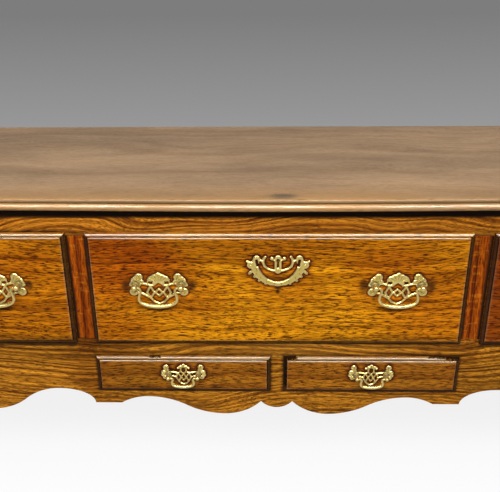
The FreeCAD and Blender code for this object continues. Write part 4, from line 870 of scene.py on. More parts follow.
HANDLES = {"left_drawer": (-0.763, -0.485), "centre_drawer": (-0.2045, 0.2045),
           "right_drawer": (0.485, 0.763)}
SMALL_HANDLES = {"left_small_drawer": (-0.170,), "right_small_drawer": (0.170,)}
HANDLE_LEVEL = 0.671
SMALL_LEVEL = 0.4885
KEY_LEVEL = 0.716
ESCUTCHEON_LEVEL = KEY_LEVEL - 0.0055
LARGE_DISCS = [
    (0, 17.6, 4.8), (6.5, 14.0, 5.0), (12.0, 11.2, 4.4), (16.6, 8.4, 3.0), (5.0, 8.0, 5.4), (0, 9.0, 6.0),
    (33.5, 13.5, 7.0), (39.0, 9.0, 6.0), (43.5, 7.5, 4.0), (29.5, 4.5, 4.8), (36.5, 1.5, 7.2),
    (43.5, 0.5, 6.2), (47.6, -1.5, 3.0), (38.5, -4.0, 5.6), (43.2, -14.5, 7.6)]
LARGE_CHAINS = [
    ([(0, 16.4), (13.0, 10.2)], 10.4), ([(8.0, 6.0), (9.0, -2.0), (14.5, -2.0)], 4.2),
    ([(17.0, 8.0), (19.5, 2.5), (17.0, -1.2)], 2.6), ([(8.5, -0.6), (0, 5.6)], 4.6),
    ([(33.0, 3.0), (24.0, 0.8), (14.5, -2.0)], 4.2), ([(34.0, 4.0), (42.0, 3.0)], 12.0),
    ([(14.5, -4.0), (20.5, -15.5), (14.5, -26.5), (8.0, -15.5), (14.5, -4.0)], 3.8),
    ([(0, -9.0), (6.5, -15.5), (0, -22.0)], 3.8), ([(14.5, -26.5), (8.5, -33.5), (0, -37.5)], 3.8),
    ([(38.0, -15.5), (31.0, -17.0), (25.5, -19.5), (17.5, -24.5)], 4.6)]
SMALL_DISCS = [
    (0, 17.0, 4.0), (5.0, 14.6, 3.4), (9.5, 12.4, 2.4), (31.5, 14.0, 5.2), (30.0, 8.0, 4.0), (35.5, 3.5, 4.8),
    (28.5, 2.0, 4.4), (37.0, -2.0, 4.0), (33.5, -7.0, 4.4), (28.5, -5.5, 4.4)]
SMALL_CHAINS = [
    ([(5.0, 13.0), (5.0, 5.0), (10.0, 2.0)], 3.0), ([(29.0, 4.5), (20.0, 4.0), (10.0, 2.0)], 3.2),
    ([(28.0, -4.5), (19.0, -4.5), (13.0, -7.0)], 3.2), ([(0, 0.5), (4.8, -7.0), (0, -14.0)], 2.8),
    ([(10.0, 2.0), (14.0, -7.0), (9.0, -15.5), (4.8, -7.0), (10.0, 2.0)], 2.8),
    ([(9.0, -15.5), (5.0, -20.0), (0, -22.0)], 3.0), ([(5.0, 5.0), (0, 0.5)], 2.8)]
KEY_DISCS = [(36.0, 8.8, 6.0), (45.5, -3.0, 7.0), (10.5, 9.0, 3.3), (0, -14.2, 2.4)]
KEY_CHAINS = [
    ([(0, -38.7), (12.0, -36.6)], 8.6), ([(12.0, -36.6), (23.0, -31.0)], 9.6),
    ([(23.0, -31.0), (32.0, -22.5)], 11.0), ([(32.0, -22.5), (38.0, -12.5)], 13.0),
    ([(38.0, -12.5), (39.5, -3.0), (37.0, 5.0)], 12.4), ([(46.0, -1.0), (52.0, 3.8)], 4.6),
    ([(41.0, -12.0), (48.5, -18.5)], 5.0), ([(36.0, -20.0), (39.8, -24.8)], 5.0),
    ([(29.0, -27.0), (32.0, -32.2)], 5.0), ([(19.0, -33.0), (20.9, -38.0)], 4.6),
    ([(0, -13.5), (9.0, -13.0), (17.0, -10.0), (22.5, -5.5), (25.2, 1.5), (24.5, 8.0), (21.5, 12.3)], 4.2),
    ([(25.0, 3.5), (33.0, 7.0)], 4.2), ([(0, 9.0), (0, -13.0)], 12.0), ([(10.5, 8.6), (5.0, 5.0)], 3.2)]


def to_bar(x, z, start, end, width):
    """Distance to a round-ended bar: to the nearest point of its middle line, less half its width."""
    run = np.array(end) - np.array(start)
    share = np.clip(((x - start[0]) * run[0] + (z - start[1]) * run[1]) / (run @ run), 0, 1)
    return np.hypot(x - start[0] - share * run[0], z - start[1] - share * run[1]) - width / 2


def soft_union(first, second, blend):
    """The nearer of two distances, with the corner between them filled by a small fillet."""
    mix = np.clip(0.5 + 0.5 * (second - first) / blend, 0, 1)
    return second * (1 - mix) + first * mix - blend * mix * (1 - mix)


def plate_distance(x, z, discs, chains, blend=0.0008):
    """Signed distance to a symmetrical plate of discs and chains of bars in mm; it is negative inside."""
    x = np.abs(x)
    distance = np.full(x.shape, 1.0)
    for dx, dz, radius in np.array(discs) * MM:
        distance = soft_union(distance, np.hypot(x - dx, z - dz) - radius, blend)
    for points, width in chains:
        line = np.array(points) * MM
        for start, end in zip(line, line[1:]):
            distance = soft_union(distance, to_bar(x, z, start, end, width * MM), blend)
    return distance


BODY_BACK = 0.014
LIP_LINE = np.array([
    (0.0000, 0.0036), (0.0002, 0.0046), (0.0006, 0.0051), (0.0012, 0.0056), (0.0020, 0.0061),
    (0.0028, 0.0065), (0.0036, 0.0068), (0.0044, 0.0070), (0.0048, 0.0069), (0.0053, 0.0062),
    (0.0057, 0.0058), (0.00595, 0.0059), (0.00605, 0.0074), (0.0066, 0.0080), (0.0074, 0.0085),
    (0.0084, 0.0089), (0.0100, 0.0090)])
FIELD = 0.009
WIDE_PITCH = 0.0026
FINE_PITCH = 0.0017


def lip_steps(low, high, brassy, extra=()):
    """Grid lines across a front: close together over both mouldings, even between them, finer in the spans
    that lie round the brass, with any extra lines."""
    edge = LIP_LINE[:, 0]
    first, last = low + edge[-1], high - edge[-1]
    lines = [low + edge, high - edge, extra]
    for pitch, wanted in ((WIDE_PITCH, False), (FINE_PITCH, True)):
        even = np.linspace(first, last, int((last - first) / pitch))[1:-1]
        near = np.any([(even > a) & (even < b) for a, b in brassy], axis=0)
        lines.append(even[near == wanted])
    return np.unique(np.round(np.concatenate(lines), 6))


def prism(x, outline):
    """A four-cornered outline in Y and Z carried across from one x to another: a block or a dovetail pin."""
    corners = np.zeros((8, 6))
    corners[:, 0] = np.repeat(x, 4)
    corners[:, 1:3] = np.tile(np.array(outline), (2, 1))
    sides = np.array([(0, 1, 2, 3), (7, 6, 5, 4), (0, 4, 5, 1), (1, 5, 6, 2), (2, 6, 7, 3), (3, 7, 4, 0)])
    return corners, sides


def block(x, y, z):
    """A plain block between two values on each axis."""
    return prism(x, ((y[0], z[0]), (y[0], z[1]), (y[1], z[1]), (y[1], z[0])))


BRASS_ASIDE, BRASS_BELOW, BRASS_ABOVE = 0.060, 0.052, 0.026
KEY_HALF = 0.0018
KEY_SPAN = (0.703, 0.7185)
CHIP_EDGE = 0.0012
CHIP_FLOOR = 0.0006
CHIP_REACH = 0.0066
CHIP_SHADE, CHIP_SHADE_GROWTH = 0.97, 4
JAG_ACROSS, JAG_UP, JAG_LEAN = 2300, 3100, 900
FIELD_FADE = 0.004
FIELD_WAVE, FIELD_DEPTH = 0.30, 0.0007
LIP_END = 0.0062
LOWER_LIP_SHADE = 0.85
SAME_EDGE = 0.0001
SIDE_STAIN, SIDE_STAIN_SHARE = 0.018, 0.4
BRASS_STAIN, BRASS_STAIN_SHARE = 0.0050, 0.95
BRASS_DIRT_AND_SHADE, BRASS_DIRT_AND_SHADE_SHARE = 0.0027, 0.75
RUBBED_AND_LIT_BANDS = ((0.0072, 0.0013), (0.0022, 0.0022))
LESS_RUBBED_AND_LIT = 0.25
QUIRK_AT, QUIRK_HALF, QUIRK_DIRT_AND_SHADE_SHARE = 0.0057, 0.0005, 0.95
BODY_RAISE = 0.0005
BODY_EASE = 0.001
SIDE_THICK = 0.011
TAIL_LENGTH = 0.010
TAIL_SLOPE = 0.22
TAIL_ROOT = 0.3


def front_face(low, high, locked, plates, side_lip_shade, chips, dark_patches, smuts_and_shadow, seed):
    """The moulded face: depth from the distance to the nearest edge, less chips, with a key slit cut through
    where it is locked. Dirt and painted shade lie in the quirk, painted shade on the lower and side lips and
    in the chips, old polish and painted shade round the brass, and dark marks in the given spots. Wear is
    heaviest on the top lip, where its pale rub colour is a painted highlight."""
    middle = (low.x + high.x) / 2
    x = lip_steps(low.x, high.x, [(px - BRASS_ASIDE, px + BRASS_ASIDE) for px, *_ in plates],
                  (middle - KEY_HALF, middle + KEY_HALF) if locked else ())
    z = lip_steps(low.z, high.z, [(pz - BRASS_BELOW, pz + BRASS_ABOVE) for _, pz, *_ in plates],
                  KEY_SPAN if locked else ())
    xx, zz = np.meshgrid(x, z, indexing="ij")
    reach = inside_of(xx, zz, low.x, high.x, low.z, high.z)
    broken = np.zeros_like(xx)
    for *edges, rough in chips:
        jag = rough * (np.sin(xx * JAG_ACROSS) + np.sin(zz * JAG_UP + xx * JAG_LEAN))
        chip = climb(inside_of(xx, zz, *edges) + jag, CHIP_EDGE)
        broken = np.maximum(broken, chip * (reach < CHIP_REACH))
    depth = np.interp(reach, LIP_LINE[:, 0], LIP_LINE[:, 1]) * (1 - broken) + CHIP_FLOOR * broken
    depth = depth + climb(reach - LIP, FIELD_FADE) * rolling(xx, zz * 2, seed, FIELD_WAVE, FIELD_DEPTH)
    at_top = (high.z - zz) <= reach + SAME_EDGE
    at_foot = (zz - low.z) <= reach + SAME_EDGE
    # Wear on the lip and field arris, full on the top lip and less elsewhere; on the top lip it is also a
    # painted highlight.
    bands = sum(np.exp(-((reach - place) / span) ** 4) for place, span in RUBBED_AND_LIT_BANDS)
    wear_and_sheen = np.clip(np.where(at_top, 1.0, LESS_RUBBED_AND_LIT) * bands * (1 - broken), 0, 1)
    # Dirt and painted shade in the quirk.
    grime_and_shade = QUIRK_DIRT_AND_SHADE_SHARE * fade(reach - QUIRK_AT, QUIRK_HALF)
    # Painted shade in the chips.
    grime_and_shade += CHIP_SHADE * np.clip(CHIP_SHADE_GROWTH * broken, 0, 1)
    # Painted shade on the lower lip and on the side lips.
    grime_and_shade += np.where(at_top, 0.0, np.where(at_foot, LOWER_LIP_SHADE, side_lip_shade)) * (reach < LIP_END)
    from_side = np.minimum(xx - low.x, high.x - xx)
    stain_and_shade = SIDE_STAIN_SHARE * np.exp(-from_side / SIDE_STAIN) * (reach > LIP)
    for dark_patch in dark_patches:
        stain_and_shade = np.maximum(stain_and_shade, oval_spot(xx, zz, *dark_patch))
    for dark_spot in smuts_and_shadow:
        grime_and_shade = np.maximum(grime_and_shade, oval_spot(xx, zz, *dark_spot))
    for px, pz, discs, chains in plates:
        around = np.clip(plate_distance(xx - px, zz - pz, discs, chains), 0, None)
        stain_and_shade = np.maximum(stain_and_shade, BRASS_STAIN_SHARE * fade(around, BRASS_STAIN))
        # Old polish and painted shade in a narrow dark outline round the brass.
        grime_and_shade = np.maximum(grime_and_shade, BRASS_DIRT_AND_SHADE_SHARE * fade(around, BRASS_DIRT_AND_SHADE))
    centre_x, centre_z = (x[:-1] + x[1:])[:, None] / 2, (z[:-1] + z[1:])[None] / 2
    slit = inside_of(centre_x, centre_z, middle - KEY_HALF, middle + KEY_HALF, *KEY_SPAN) > 0
    face = marked(xx, front - depth, zz, wear_and_sheen, np.clip(grime_and_shade, 0, 1), stain_and_shade)
    return slab(face, marked(xx, front, zz), ~(slit & locked))


def lipped_front(drawer, tails, plates, side_lip_shade, chips=(), dark_patches=(), smuts_and_shadow=(), seed=1):
    """A whole front: the moulded face, and behind it the body, its pins and a recess for any lock."""
    low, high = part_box(drawer + "_front")
    locked = drawer in HANDLES
    patches = [front_face(low, high, locked, plates, side_lip_shade, chips, dark_patches, smuts_and_shadow, seed)]
    box_low, box_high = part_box(drawer + "_sides")
    bottom, top = low.z + LIP + BODY_RAISE, high.z - LIP - BODY_EASE
    inner = front + BODY_BACK
    ends = (box_low.x, box_low.x + SIDE_THICK), (box_high.x - SIDE_THICK, box_high.x)
    pitch = (box_high.z - box_low.z) / tails
    root, flare = pitch * TAIL_ROOT, TAIL_LENGTH * TAIL_SLOPE
    for end in ends:
        patches.append(block(end, (front, inner - TAIL_LENGTH), (bottom, top)))
        for k in range(tails + 1):
            below, above = box_low.z + pitch * (k - 0.5) + root, box_low.z + pitch * (k + 0.5) - root
            z0 = (below, below + flare) if k else (bottom, bottom)
            z1 = (above, above - flare) if k < tails else (top, top)
            tip = inner - TAIL_LENGTH
            patches.append(prism(end, ((inner, z0[0]), (inner, z1[0]), (tip, z1[1]), (tip, z0[1]))))
    left, right = ends[0][1], ends[1][0]
    if not locked:
        return patches + [block((left, right), (front, inner), (bottom, top))]
    lock_low, lock_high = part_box(drawer + "_lock")
    behind = (lock_low.y, inner)
    return patches + [block((left, right), (front, lock_low.y), (bottom, top)),
                      block((left, lock_low.x), behind, (bottom, top)),
                      block((lock_high.x, right), behind, (bottom, top)),
                      block((lock_low.x, lock_high.x), behind, (bottom, lock_low.z))]


# The pale rub colours of these fronts paint a highlight where the wear mark is high, on the top lips and
# arrises.
drawer_oak = oak("drawer_front_oak", "along_x", (0.790, 0.318, 0.006), (0.520, 0.186, 0.003),
                 (0.060, 0.009, 0.001), ring=0.012, wander=0.06, shift=(0.1, 0.2, 0.0),
                 rub_and_sheen=(0.44, 0.34, 0.17), rub_and_sheen_share=0.65)
small_oak = oak("small_front_oak", "along_x", (0.430, 0.157, 0.010), (0.295, 0.095, 0.006),
                (0.040, 0.008, 0.001), ring=0.018, wander=0.05, shift=(0.5, 0.1, 0.7), streak_share=0.45,
                rub_and_sheen=(0.40, 0.31, 0.17), rub_and_sheen_share=0.65)
# Painted shade on the side lips of each front.
SIDE_LIP_SHADE = {"left_drawer": 0.88, "centre_drawer": 0.90, "right_drawer": 0.88}
SMALL_SIDE_LIP_SHADE = 0.88
DRAWER_GHOSTS = ((-0.28, 0.705, 0.15, 0.085, 0.84), (-0.30, 0.585, 0.10, 0.050, 0.55),
                 (-0.17, 0.645, 0.08, 0.050, 0.45), (0.28, 0.630, 0.11, 0.100, 0.55),
                 (0.19, 0.712, 0.09, 0.036, 0.60), (0.0, 0.742, 0.36, 0.036, 0.38),
                 (0.02, 0.665, 0.07, 0.030, 0.35))
LEFT_GHOST = (0.19, 0.660, 0.14, 0.130, 0.50)
# Dark marks of an older keyhole plate below the present one, a painted shadow in its crescent opening, and a
# dark band above the lower lip.
DRAWER_SMUTS_AND_SHADOW = ((0.0, 0.6640, 0.0085, 0.0036, 0.92), (0.0, 0.6580, 0.0040, 0.0050, 0.92),
                (0.0, 0.6806, 0.0160, 0.0032, 0.60), (0.18, 0.561, 0.16, 0.007, 0.45))
CENTRE_SMUTS = ((0.044, 0.616, 0.0026, 0.0026, 0.85), (0.047, 0.587, 0.0026, 0.0026, 0.85))
HANDLE_GHOST = (HANDLE_LEVEL - 0.006, 0.080, 0.044, 0.50)
HANDLE_SMUT = (HANDLE_LEVEL - 0.0040, 0.0078, 0.0120, 0.80)
# The right drawer is darker towards its inner edge.
SMUT_OUT = 0.0565
RIGHT_EDGE_DARKENING = (0.660, 0.11, 0.250, 0.95)
RIGHT_EDGE_DARK_SPOT = (0.660, 0.080, 0.200, 0.36)
for number, (drawer, handles) in enumerate(HANDLES.items()):
    low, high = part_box(drawer + "_front")
    middle = (low.x + high.x) / 2
    own_dark_patches = DRAWER_GHOSTS + ((LEFT_GHOST,) if drawer == "left_drawer" else ())
    own_smuts_and_shadow = DRAWER_SMUTS_AND_SHADOW + (CENTRE_SMUTS if drawer == "centre_drawer" else ())
    dark_patches = [(middle + dx, *spot) for dx, *spot in own_dark_patches]
    dark_patches += [(hx, *HANDLE_GHOST) for hx in handles]
    smuts_and_shadow = [(middle + dx, *spot) for dx, *spot in own_smuts_and_shadow]
    smuts_and_shadow += [(hx + side * SMUT_OUT, *HANDLE_SMUT) for hx in handles for side in (-1, 1)]
    # Darker towards the right drawer's inner edge.
    if drawer == "right_drawer":
        dark_patches.append((low.x, *RIGHT_EDGE_DARKENING))
        smuts_and_shadow.append((low.x, *RIGHT_EDGE_DARK_SPOT))
    plates = [(hx, HANDLE_LEVEL, LARGE_DISCS, LARGE_CHAINS) for hx in handles]
    plates.append((middle, ESCUTCHEON_LEVEL, KEY_DISCS, KEY_CHAINS))
    patches = lipped_front(drawer, 4, plates, SIDE_LIP_SHADE[drawer], (), dark_patches, smuts_and_shadow, 70 + number)
    make_piece(drawer + "_face", patches, drawer, drawer_oak, [drawer + "_front"])

SMALL_CHIPS = {
    "left_small_drawer": [(-0.232, -0.2115, 0.5203, 0.5245, 0.0005)],
    "right_small_drawer": [(0.0095, 0.036, 0.5160, 0.5245, 0.0009), (0.0095, 0.0175, 0.460, 0.5245, 0.0006),
                           (0.302, 0.3305, 0.5170, 0.5245, 0.0006), (0.288, 0.305, 0.5190, 0.5245, 0.0006),
                           (0.272, 0.291, 0.5206, 0.5245, 0.0004)],
}
for number, (drawer, chips) in enumerate(SMALL_CHIPS.items()):
    plates = [(*SMALL_HANDLES[drawer], SMALL_LEVEL, SMALL_DISCS, SMALL_CHAINS)]
    patches = lipped_front(drawer, 1, plates, SMALL_SIDE_LIP_SHADE, chips, seed=80 + number)
    make_piece(drawer + "_face", patches, drawer, small_oak, [drawer + "_front"])

# Drawer boxes: bare oak sides dovetailed to the front, a back and a thin bottom slid into grooves.
# They stay pale and dry inside, with a grey bloom from hands and dust.

side_oak = oak("drawer_side_oak", "along_y", (0.470, 0.310, 0.165), (0.330, 0.200, 0.100),
               (0.120, 0.066, 0.030), ring=0.012, wander=0.05, gloss=0.58, wax=0.0)
board_oak = oak("drawer_board_oak", "along_x", (0.450, 0.300, 0.165), (0.320, 0.195, 0.100),
                (0.120, 0.066, 0.030), ring=0.016, wander=0.10, gloss=0.6, wax=0.0)
for drawer in (*HANDLES, *SMALL_CHIPS):
    finish_node(drawer + "_sides", side_oak)
    finish_node(drawer + "_back", board_oak)
    finish_node(drawer + "_bottom", board_oak)

# Handle plates: thin cast brass, sawn through to a lattice between leafy wings under a scalloped crest.
# Edges are filed round and leaf veins are cut in. Old polish has dried black in the veins and at the edges,
# and painted shade darkens the edges and a ring round each post.

field_front = front - FIELD
PLATE_THICK = 0.0022
EDGE_SHARE = 0.35
EDGE_ROUND = 0.0020
EDGE_DIRT_AND_SHADE = 0.0004
VEIN_HALF, VEIN_CUT, VEIN_DIRT = 0.0005, 0.38, 0.75
COLLAR_SHADE_HALF, COLLAR_SHADE = 0.0020, 0.75
DULL_START, DULL_FADE = 0.0016, 0.0020
PROBE = 1e-5
LEAST_STEEP = 0.2


def cast_plate(centre, level, size, discs, chains, veins, cell=0.0006, edge_polish_and_shade=0.70, post=None, hole=None):
    """A plate on a fine grid: cells inside the outline are kept, their rim is pulled onto it, and the face
    falls away towards every edge and along the cut veins. Dirt lies in the veins, old polish and painted
    shade darken the edges, and painted shade lies in a ring round each post."""
    half_x, low_z, high_z = size
    x = np.arange(-half_x, half_x + cell, cell)
    z = np.arange(low_z, high_z + cell, cell)
    xx, zz = np.meshgrid(x, z, indexing="ij")

    def outline(px, pz):
        """Distance to the plate less its hole."""
        distance = plate_distance(px, pz, discs, chains)
        return distance if hole is None else np.maximum(distance, -hole(px, pz))

    keep = outline(xx[:-1, :-1] + cell / 2, zz[:-1, :-1] + cell / 2) < 0
    near = np.zeros(xx.shape, dtype=int)
    for di, dj in ((0, 0), (0, 1), (1, 0), (1, 1)):
        near[di:di + keep.shape[0], dj:dj + keep.shape[1]] += keep
    rim = (near > 0) & (near < 4)
    for _ in range(3):
        distance = outline(xx, zz)
        slope_x = (outline(xx + PROBE, zz) - distance) / PROBE
        slope_z = (outline(xx, zz + PROBE) - distance) / PROBE
        steepness = np.maximum(slope_x ** 2 + slope_z ** 2, LEAST_STEEP)
        xx = np.where(rim, xx - distance * slope_x / steepness, xx)
        zz = np.where(rim, zz - distance * slope_z / steepness, zz)
    inward = np.clip(-outline(xx, zz), 0, None)
    dome = EDGE_SHARE + (1 - EDGE_SHARE) * np.sin(climb(inward, EDGE_ROUND) * np.pi / 2)
    cut = np.zeros_like(xx)
    for start, end in np.array(veins) * MM:
        cut = np.maximum(cut, fade(to_bar(np.abs(xx), zz, start, end, 0.0), VEIN_HALF))
    rise = PLATE_THICK * dome * (1 - VEIN_CUT * cut)
    # Old polish in the veins, old polish and painted shade at the edges, painted shade in a ring round each
    # post.
    grime_and_shade = VEIN_DIRT * cut + edge_polish_and_shade * (inward < EDGE_DIRT_AND_SHADE)
    if post:
        grime_and_shade = grime_and_shade + COLLAR_SHADE * fade(np.hypot(np.abs(xx) - post[0], zz) - post[1], COLLAR_SHADE_HALF)
    grime_and_shade = np.clip(grime_and_shade, 0, 1)
    dull = climb(inward - DULL_START, DULL_FADE)
    face = marked(centre + xx, field_front - rise, level + zz, 0.0, grime_and_shade, dull)
    return slab(face, marked(centre + xx, field_front, level + zz, 0.0, grime_and_shade), keep)


CLOUD_SIZE, PIT_SIZE = 120.0, 900.0
CLOUD_SPAN = (0.50, 0.72, 0.0, 0.45)
FLAT_TARNISH = 0.7
OLD_POLISH_AND_SHADE = 0.85
DULLING = 0.35
BARE_METAL = (0.2, 1.0, 0.88, 0.5)
PIT_RELIEF, PIT_DEPTH = 0.35, 0.0003


def build_brass(name, tone, patina, dark, shine):
    """Cast brass: polished metal, tarnished in clouds and on broad flats, darkened by old polish in its
    hollows and by painted shade at the edges and round the posts.
    """
    material, tree, place = blank_material(name)
    cloud = put(tree, "ShaderNodeTexNoise", Vector=place, Scale=CLOUD_SIZE, Detail=4.0, Roughness=0.6)
    pits = put(tree, "ShaderNodeTexNoise", Vector=place, Scale=PIT_SIZE, Detail=2.0, Roughness=0.5)
    grime_and_shade, flat = mark(tree, "grime_and_shade"), mark(tree, "stain_and_shade")
    clouds = ramp(tree, cloud.outputs[0], *CLOUD_SPAN)
    tarnish = maths(tree, "MAXIMUM", clouds, times(tree, flat, FLAT_TARNISH))
    colour = tint(tree, tarnish, tone, patina)
    colour = tint(tree, times(tree, grime_and_shade, OLD_POLISH_AND_SHADE), colour, dark)
    rough = maths(tree, "ADD", times(tree, tarnish, DULLING), shine)
    rough = maths(tree, "ADD", rough, times(tree, grime_and_shade, DULLING))
    relief = put(tree, "ShaderNodeBump", Strength=PIT_RELIEF, Distance=PIT_DEPTH, Height=pits.outputs[0])
    return surface(material, tree, Base_Color=colour, Roughness=rough, Normal=relief.outputs[0],
                   Metallic=ramp(tree, grime_and_shade, *BARE_METAL))


brass = build_brass("old_brass", tone=(0.84, 0.65, 0.235), patina=(0.50, 0.37, 0.072),
                    dark=(0.055, 0.036, 0.008), shine=0.28)
HANDLE_HALF = 0.0395
SMALL_HALF = 0.0265
COLLAR = 0.0062
SMALL_COLLAR = 0.0056
LARGE_SIZE = (0.052, -0.0405, 0.0235)
SMALL_SIZE = (0.0425, -0.0245, 0.022)
LARGE_VEINS = [
    ((0, 10), (0, 20)), ((3.5, 9), (7.5, 17)), ((6, 7), (14, 13)), ((30, 5), (34, 18)), ((33, 6), (41, 13)),
    ((36, 4), (47, 9)), ((44, 2), (49, -1)), ((37, -9), (46, -10)), ((37, -11), (45, -17)),
    ((26, 1.4), (31, 2.6))]
SMALL_VEINS = [((0, 14), (0, 20)), ((4, 13), (6.5, 17)), ((30, 7), (31.5, 18)), ((31, 6), (38, 4)),
               ((31, 0), (39, -3)), ((30, -3), (34, -9))]
for drawer, handles in HANDLES.items():
    plates = [cast_plate(hx, HANDLE_LEVEL, LARGE_SIZE, LARGE_DISCS, LARGE_CHAINS, LARGE_VEINS,
                         post=(HANDLE_HALF, COLLAR)) for hx in handles]
    make_piece(drawer + "_plates", plates, drawer, brass, [drawer + "_handle_plates"])
for drawer, (middle,) in SMALL_HANDLES.items():
    plate = cast_plate(middle, SMALL_LEVEL, SMALL_SIZE, SMALL_DISCS, SMALL_CHAINS, SMALL_VEINS, cell=0.0005,
                       edge_polish_and_shade=0.35, post=(SMALL_HALF, SMALL_COLLAR))
    make_piece(drawer + "_plate", [plate], drawer, brass, [drawer + "_handle_plate"])

# Handle posts: turned brass bolts with a collar, a waist and a drilled ball, nutted inside the drawer.
# The bails hang from the balls, which are left bright; the collars and waists are darkened with old polish
# and painted shade.

PIVOT_OUT = 0.013
BALL_START = 0.30
NUT_SIDE = 0.010
NUT_THICK = 0.003
NUT_EDGE = 0.0007
STEM_END = BODY_BACK + FIELD + PLATE_THICK + 0.005
POST_LINE = [(0.0, STEM_END), (0.0025, STEM_END), (0.0025, 0.0), (0.0048, 0.0), (0.0050, -0.0006),
             (0.0047, -0.0015), (0.0036, -0.0021), (0.0030, -0.0035), (0.0029, -0.0055)]
# Old polish and painted shade on the collar and waist of each post.
POST_DIRT_AND_SHADE = ((-0.01, 0.0, 0.004, 0.008, 0.020), (0.2, 0.7, 0.8, 0.25, 0.0))


def turned_post(x, level, ball):
    """A surface of revolution about Y: stem, collar, waist and ball, as radii at distances from the plate."""
    turn = np.linspace(BALL_START, np.pi, 13)
    ball_line = np.stack([ball * np.sin(turn), ball * np.cos(turn) - PIVOT_OUT], axis=1)
    ball_line[-1, 0] = 0.0
    line = np.concatenate([POST_LINE, ball_line])
    radius, away = line[:, :1], line[:, 1:]
    around = np.linspace(0, 2 * np.pi, 25)
    return spread(marked(x + radius * np.cos(around), field_front - PLATE_THICK + away,
                         level + radius * np.sin(around), grime_and_shade=np.interp(-away, *POST_DIRT_AND_SHADE)))


def square_nut(x, level):
    """A filed square nut with broken edges, flat against the inside of the front."""
    half = NUT_SIDE / 2
    inside = front + BODY_BACK
    return worn_bar((x - half, inside, level - half), (x + half, inside + NUT_THICK, level + half), 1,
                    edge=NUT_EDGE, uneven=0.0, steps=4)


BALL = 0.00545
SMALL_BALL = 0.0038
for kind, level, half, ball in ((HANDLES, HANDLE_LEVEL, HANDLE_HALF, BALL),
                                (SMALL_HANDLES, SMALL_LEVEL, SMALL_HALF, SMALL_BALL)):
    for drawer, handles in kind.items():
        places = [hx + s * half for hx in handles for s in (-1, 1)]
        pieces = [turned_post(px, level, ball) for px in places]
        for px in places:
            pieces += square_nut(px, level)
        make_piece(drawer + "_posts", pieces, drawer, brass, [drawer + "_handle_posts"])

# Bails: cast swan-neck pulls, slim where they hook into the posts and full at the grip.
# Hands have polished the grip bright, and the inside of each neck stays brown.

pivot_y = field_front - PLATE_THICK - PIVOT_OUT
PIN_LENGTH = 0.004
PIN_BARE = 0.0006
PIN_TIP = 0.0016
PIN = 0.0019
NECK = 0.0022
NECK_INSET = 0.0044
FLARE_INSET = 0.0070
HOOK_FALL, NECK_FALL = 0.02, 0.13
SWELL_OUT, SWELL_FALL = 0.2, 0.28
GRIP_LINE = ((1.0, 0.54), (0.96, 0.73), (0.72, 0.90), (0.36, 0.98), (0.0, 1.0))
BAIL_STEPS = 120
NECK_DIRT = 0.45


def swan_bail(x, level, half, ball, drop, grip):
    """A round bar of changing thickness along a smooth curve through the neck, the flare and the grip."""
    start, flare = half - ball, half - FLARE_INSET
    neck = start - NECK_INSET
    right = np.array([
        (half + PIN_LENGTH, 0.0), (half, 0.0), (start + PIN_BARE, 0.0),
        ((start + neck) / 2, -HOOK_FALL * drop), (neck, -NECK_FALL * drop),
        (neck + SWELL_OUT * (flare - neck), -SWELL_FALL * drop),
        *[(out * flare, -fall * drop) for out, fall in GRIP_LINE]])
    line = np.concatenate([right, (right * (-1, 1))[-2::-1]])
    knots = np.concatenate([[0], np.cumsum(np.hypot(*np.diff(line, axis=0).T))])
    at = np.linspace(0, knots[-1], BAIL_STEPS)
    path = through(knots, line, at)
    heading = np.gradient(path, axis=0)
    heading /= np.linalg.norm(heading, axis=1, keepdims=True)
    share = np.clip((at - knots[2]) / (knots[-3] - knots[2]), 0, 1)
    radius = NECK + (grip - NECK) * np.sin(np.pi * share) ** 3
    radius = np.where((share <= 0) | (share >= 1), PIN, radius)
    radius[[0, -1]] = 0.0
    radius[[1, -2]] = PIN_TIP
    around = np.linspace(0, 2 * np.pi, 25)
    sideways, upright = radius[:, None] * np.cos(around), radius[:, None] * np.sin(around)
    return spread(marked(x + path[:, :1] - heading[:, 1:] * sideways, pivot_y + upright,
                         level + path[:, 1:] + heading[:, :1] * sideways,
                         grime_and_shade=NECK_DIRT * (1 - np.sin(np.pi * share)[:, None]) ** 2))


BAIL_DROP = 0.035
SMALL_DROP = 0.018
GRIP = 0.0038
SMALL_GRIP = 0.0030
for drawer, handles in HANDLES.items():
    for hand, hx in zip(("left", "right"), handles):
        name = f"{drawer}_{hand}_bail"
        bail = swan_bail(hx, HANDLE_LEVEL, HANDLE_HALF, BALL, BAIL_DROP, GRIP)
        make_piece(name + "_grip", [bail], name, brass, [name])
for drawer, (middle,) in SMALL_HANDLES.items():
    name = drawer + "_bail"
    bail = swan_bail(middle, SMALL_LEVEL, SMALL_HALF, SMALL_BALL, SMALL_DROP, SMALL_GRIP)
    make_piece(name + "_grip", [bail], name, brass, [name])

# Escutcheons: pierced brass keyhole plates, a broad crescent with scrolled arms round the key slot.
# Each is held by two small brass pins through its leafy ends.

KEY_SIZE = (0.0555, -0.0435, 0.0165)
KEY_VEINS = [((38, -8), (35, -14)), ((43, -11), (49.5, -19)), ((36, -18), (42.5, -28)),
             ((29, -25), (33.5, -35)), ((18, -31), (21.5, -40)), ((6, -36), (6, -40.5))]
KEY_ROUND = 0.0027
KEY_SLIT = 0.0036
KEY_DEPTH = 0.0115
ARM_LOOP = ((0.0362, 0.0050), (0.0345, -0.0035), 0.0046)


def key_slot(x, z):
    """Distance to the sawn holes: a round hole over a narrow slit for the key, and a loop in each arm."""
    loops = to_bar(np.abs(x), z, *ARM_LOOP)
    z = z + ESCUTCHEON_LEVEL - KEY_LEVEL
    key = np.minimum(np.hypot(x, z) - KEY_ROUND, to_bar(x, z, (0.0, 0.0), (0.0, -KEY_DEPTH), KEY_SLIT))
    return np.minimum(key, loops)


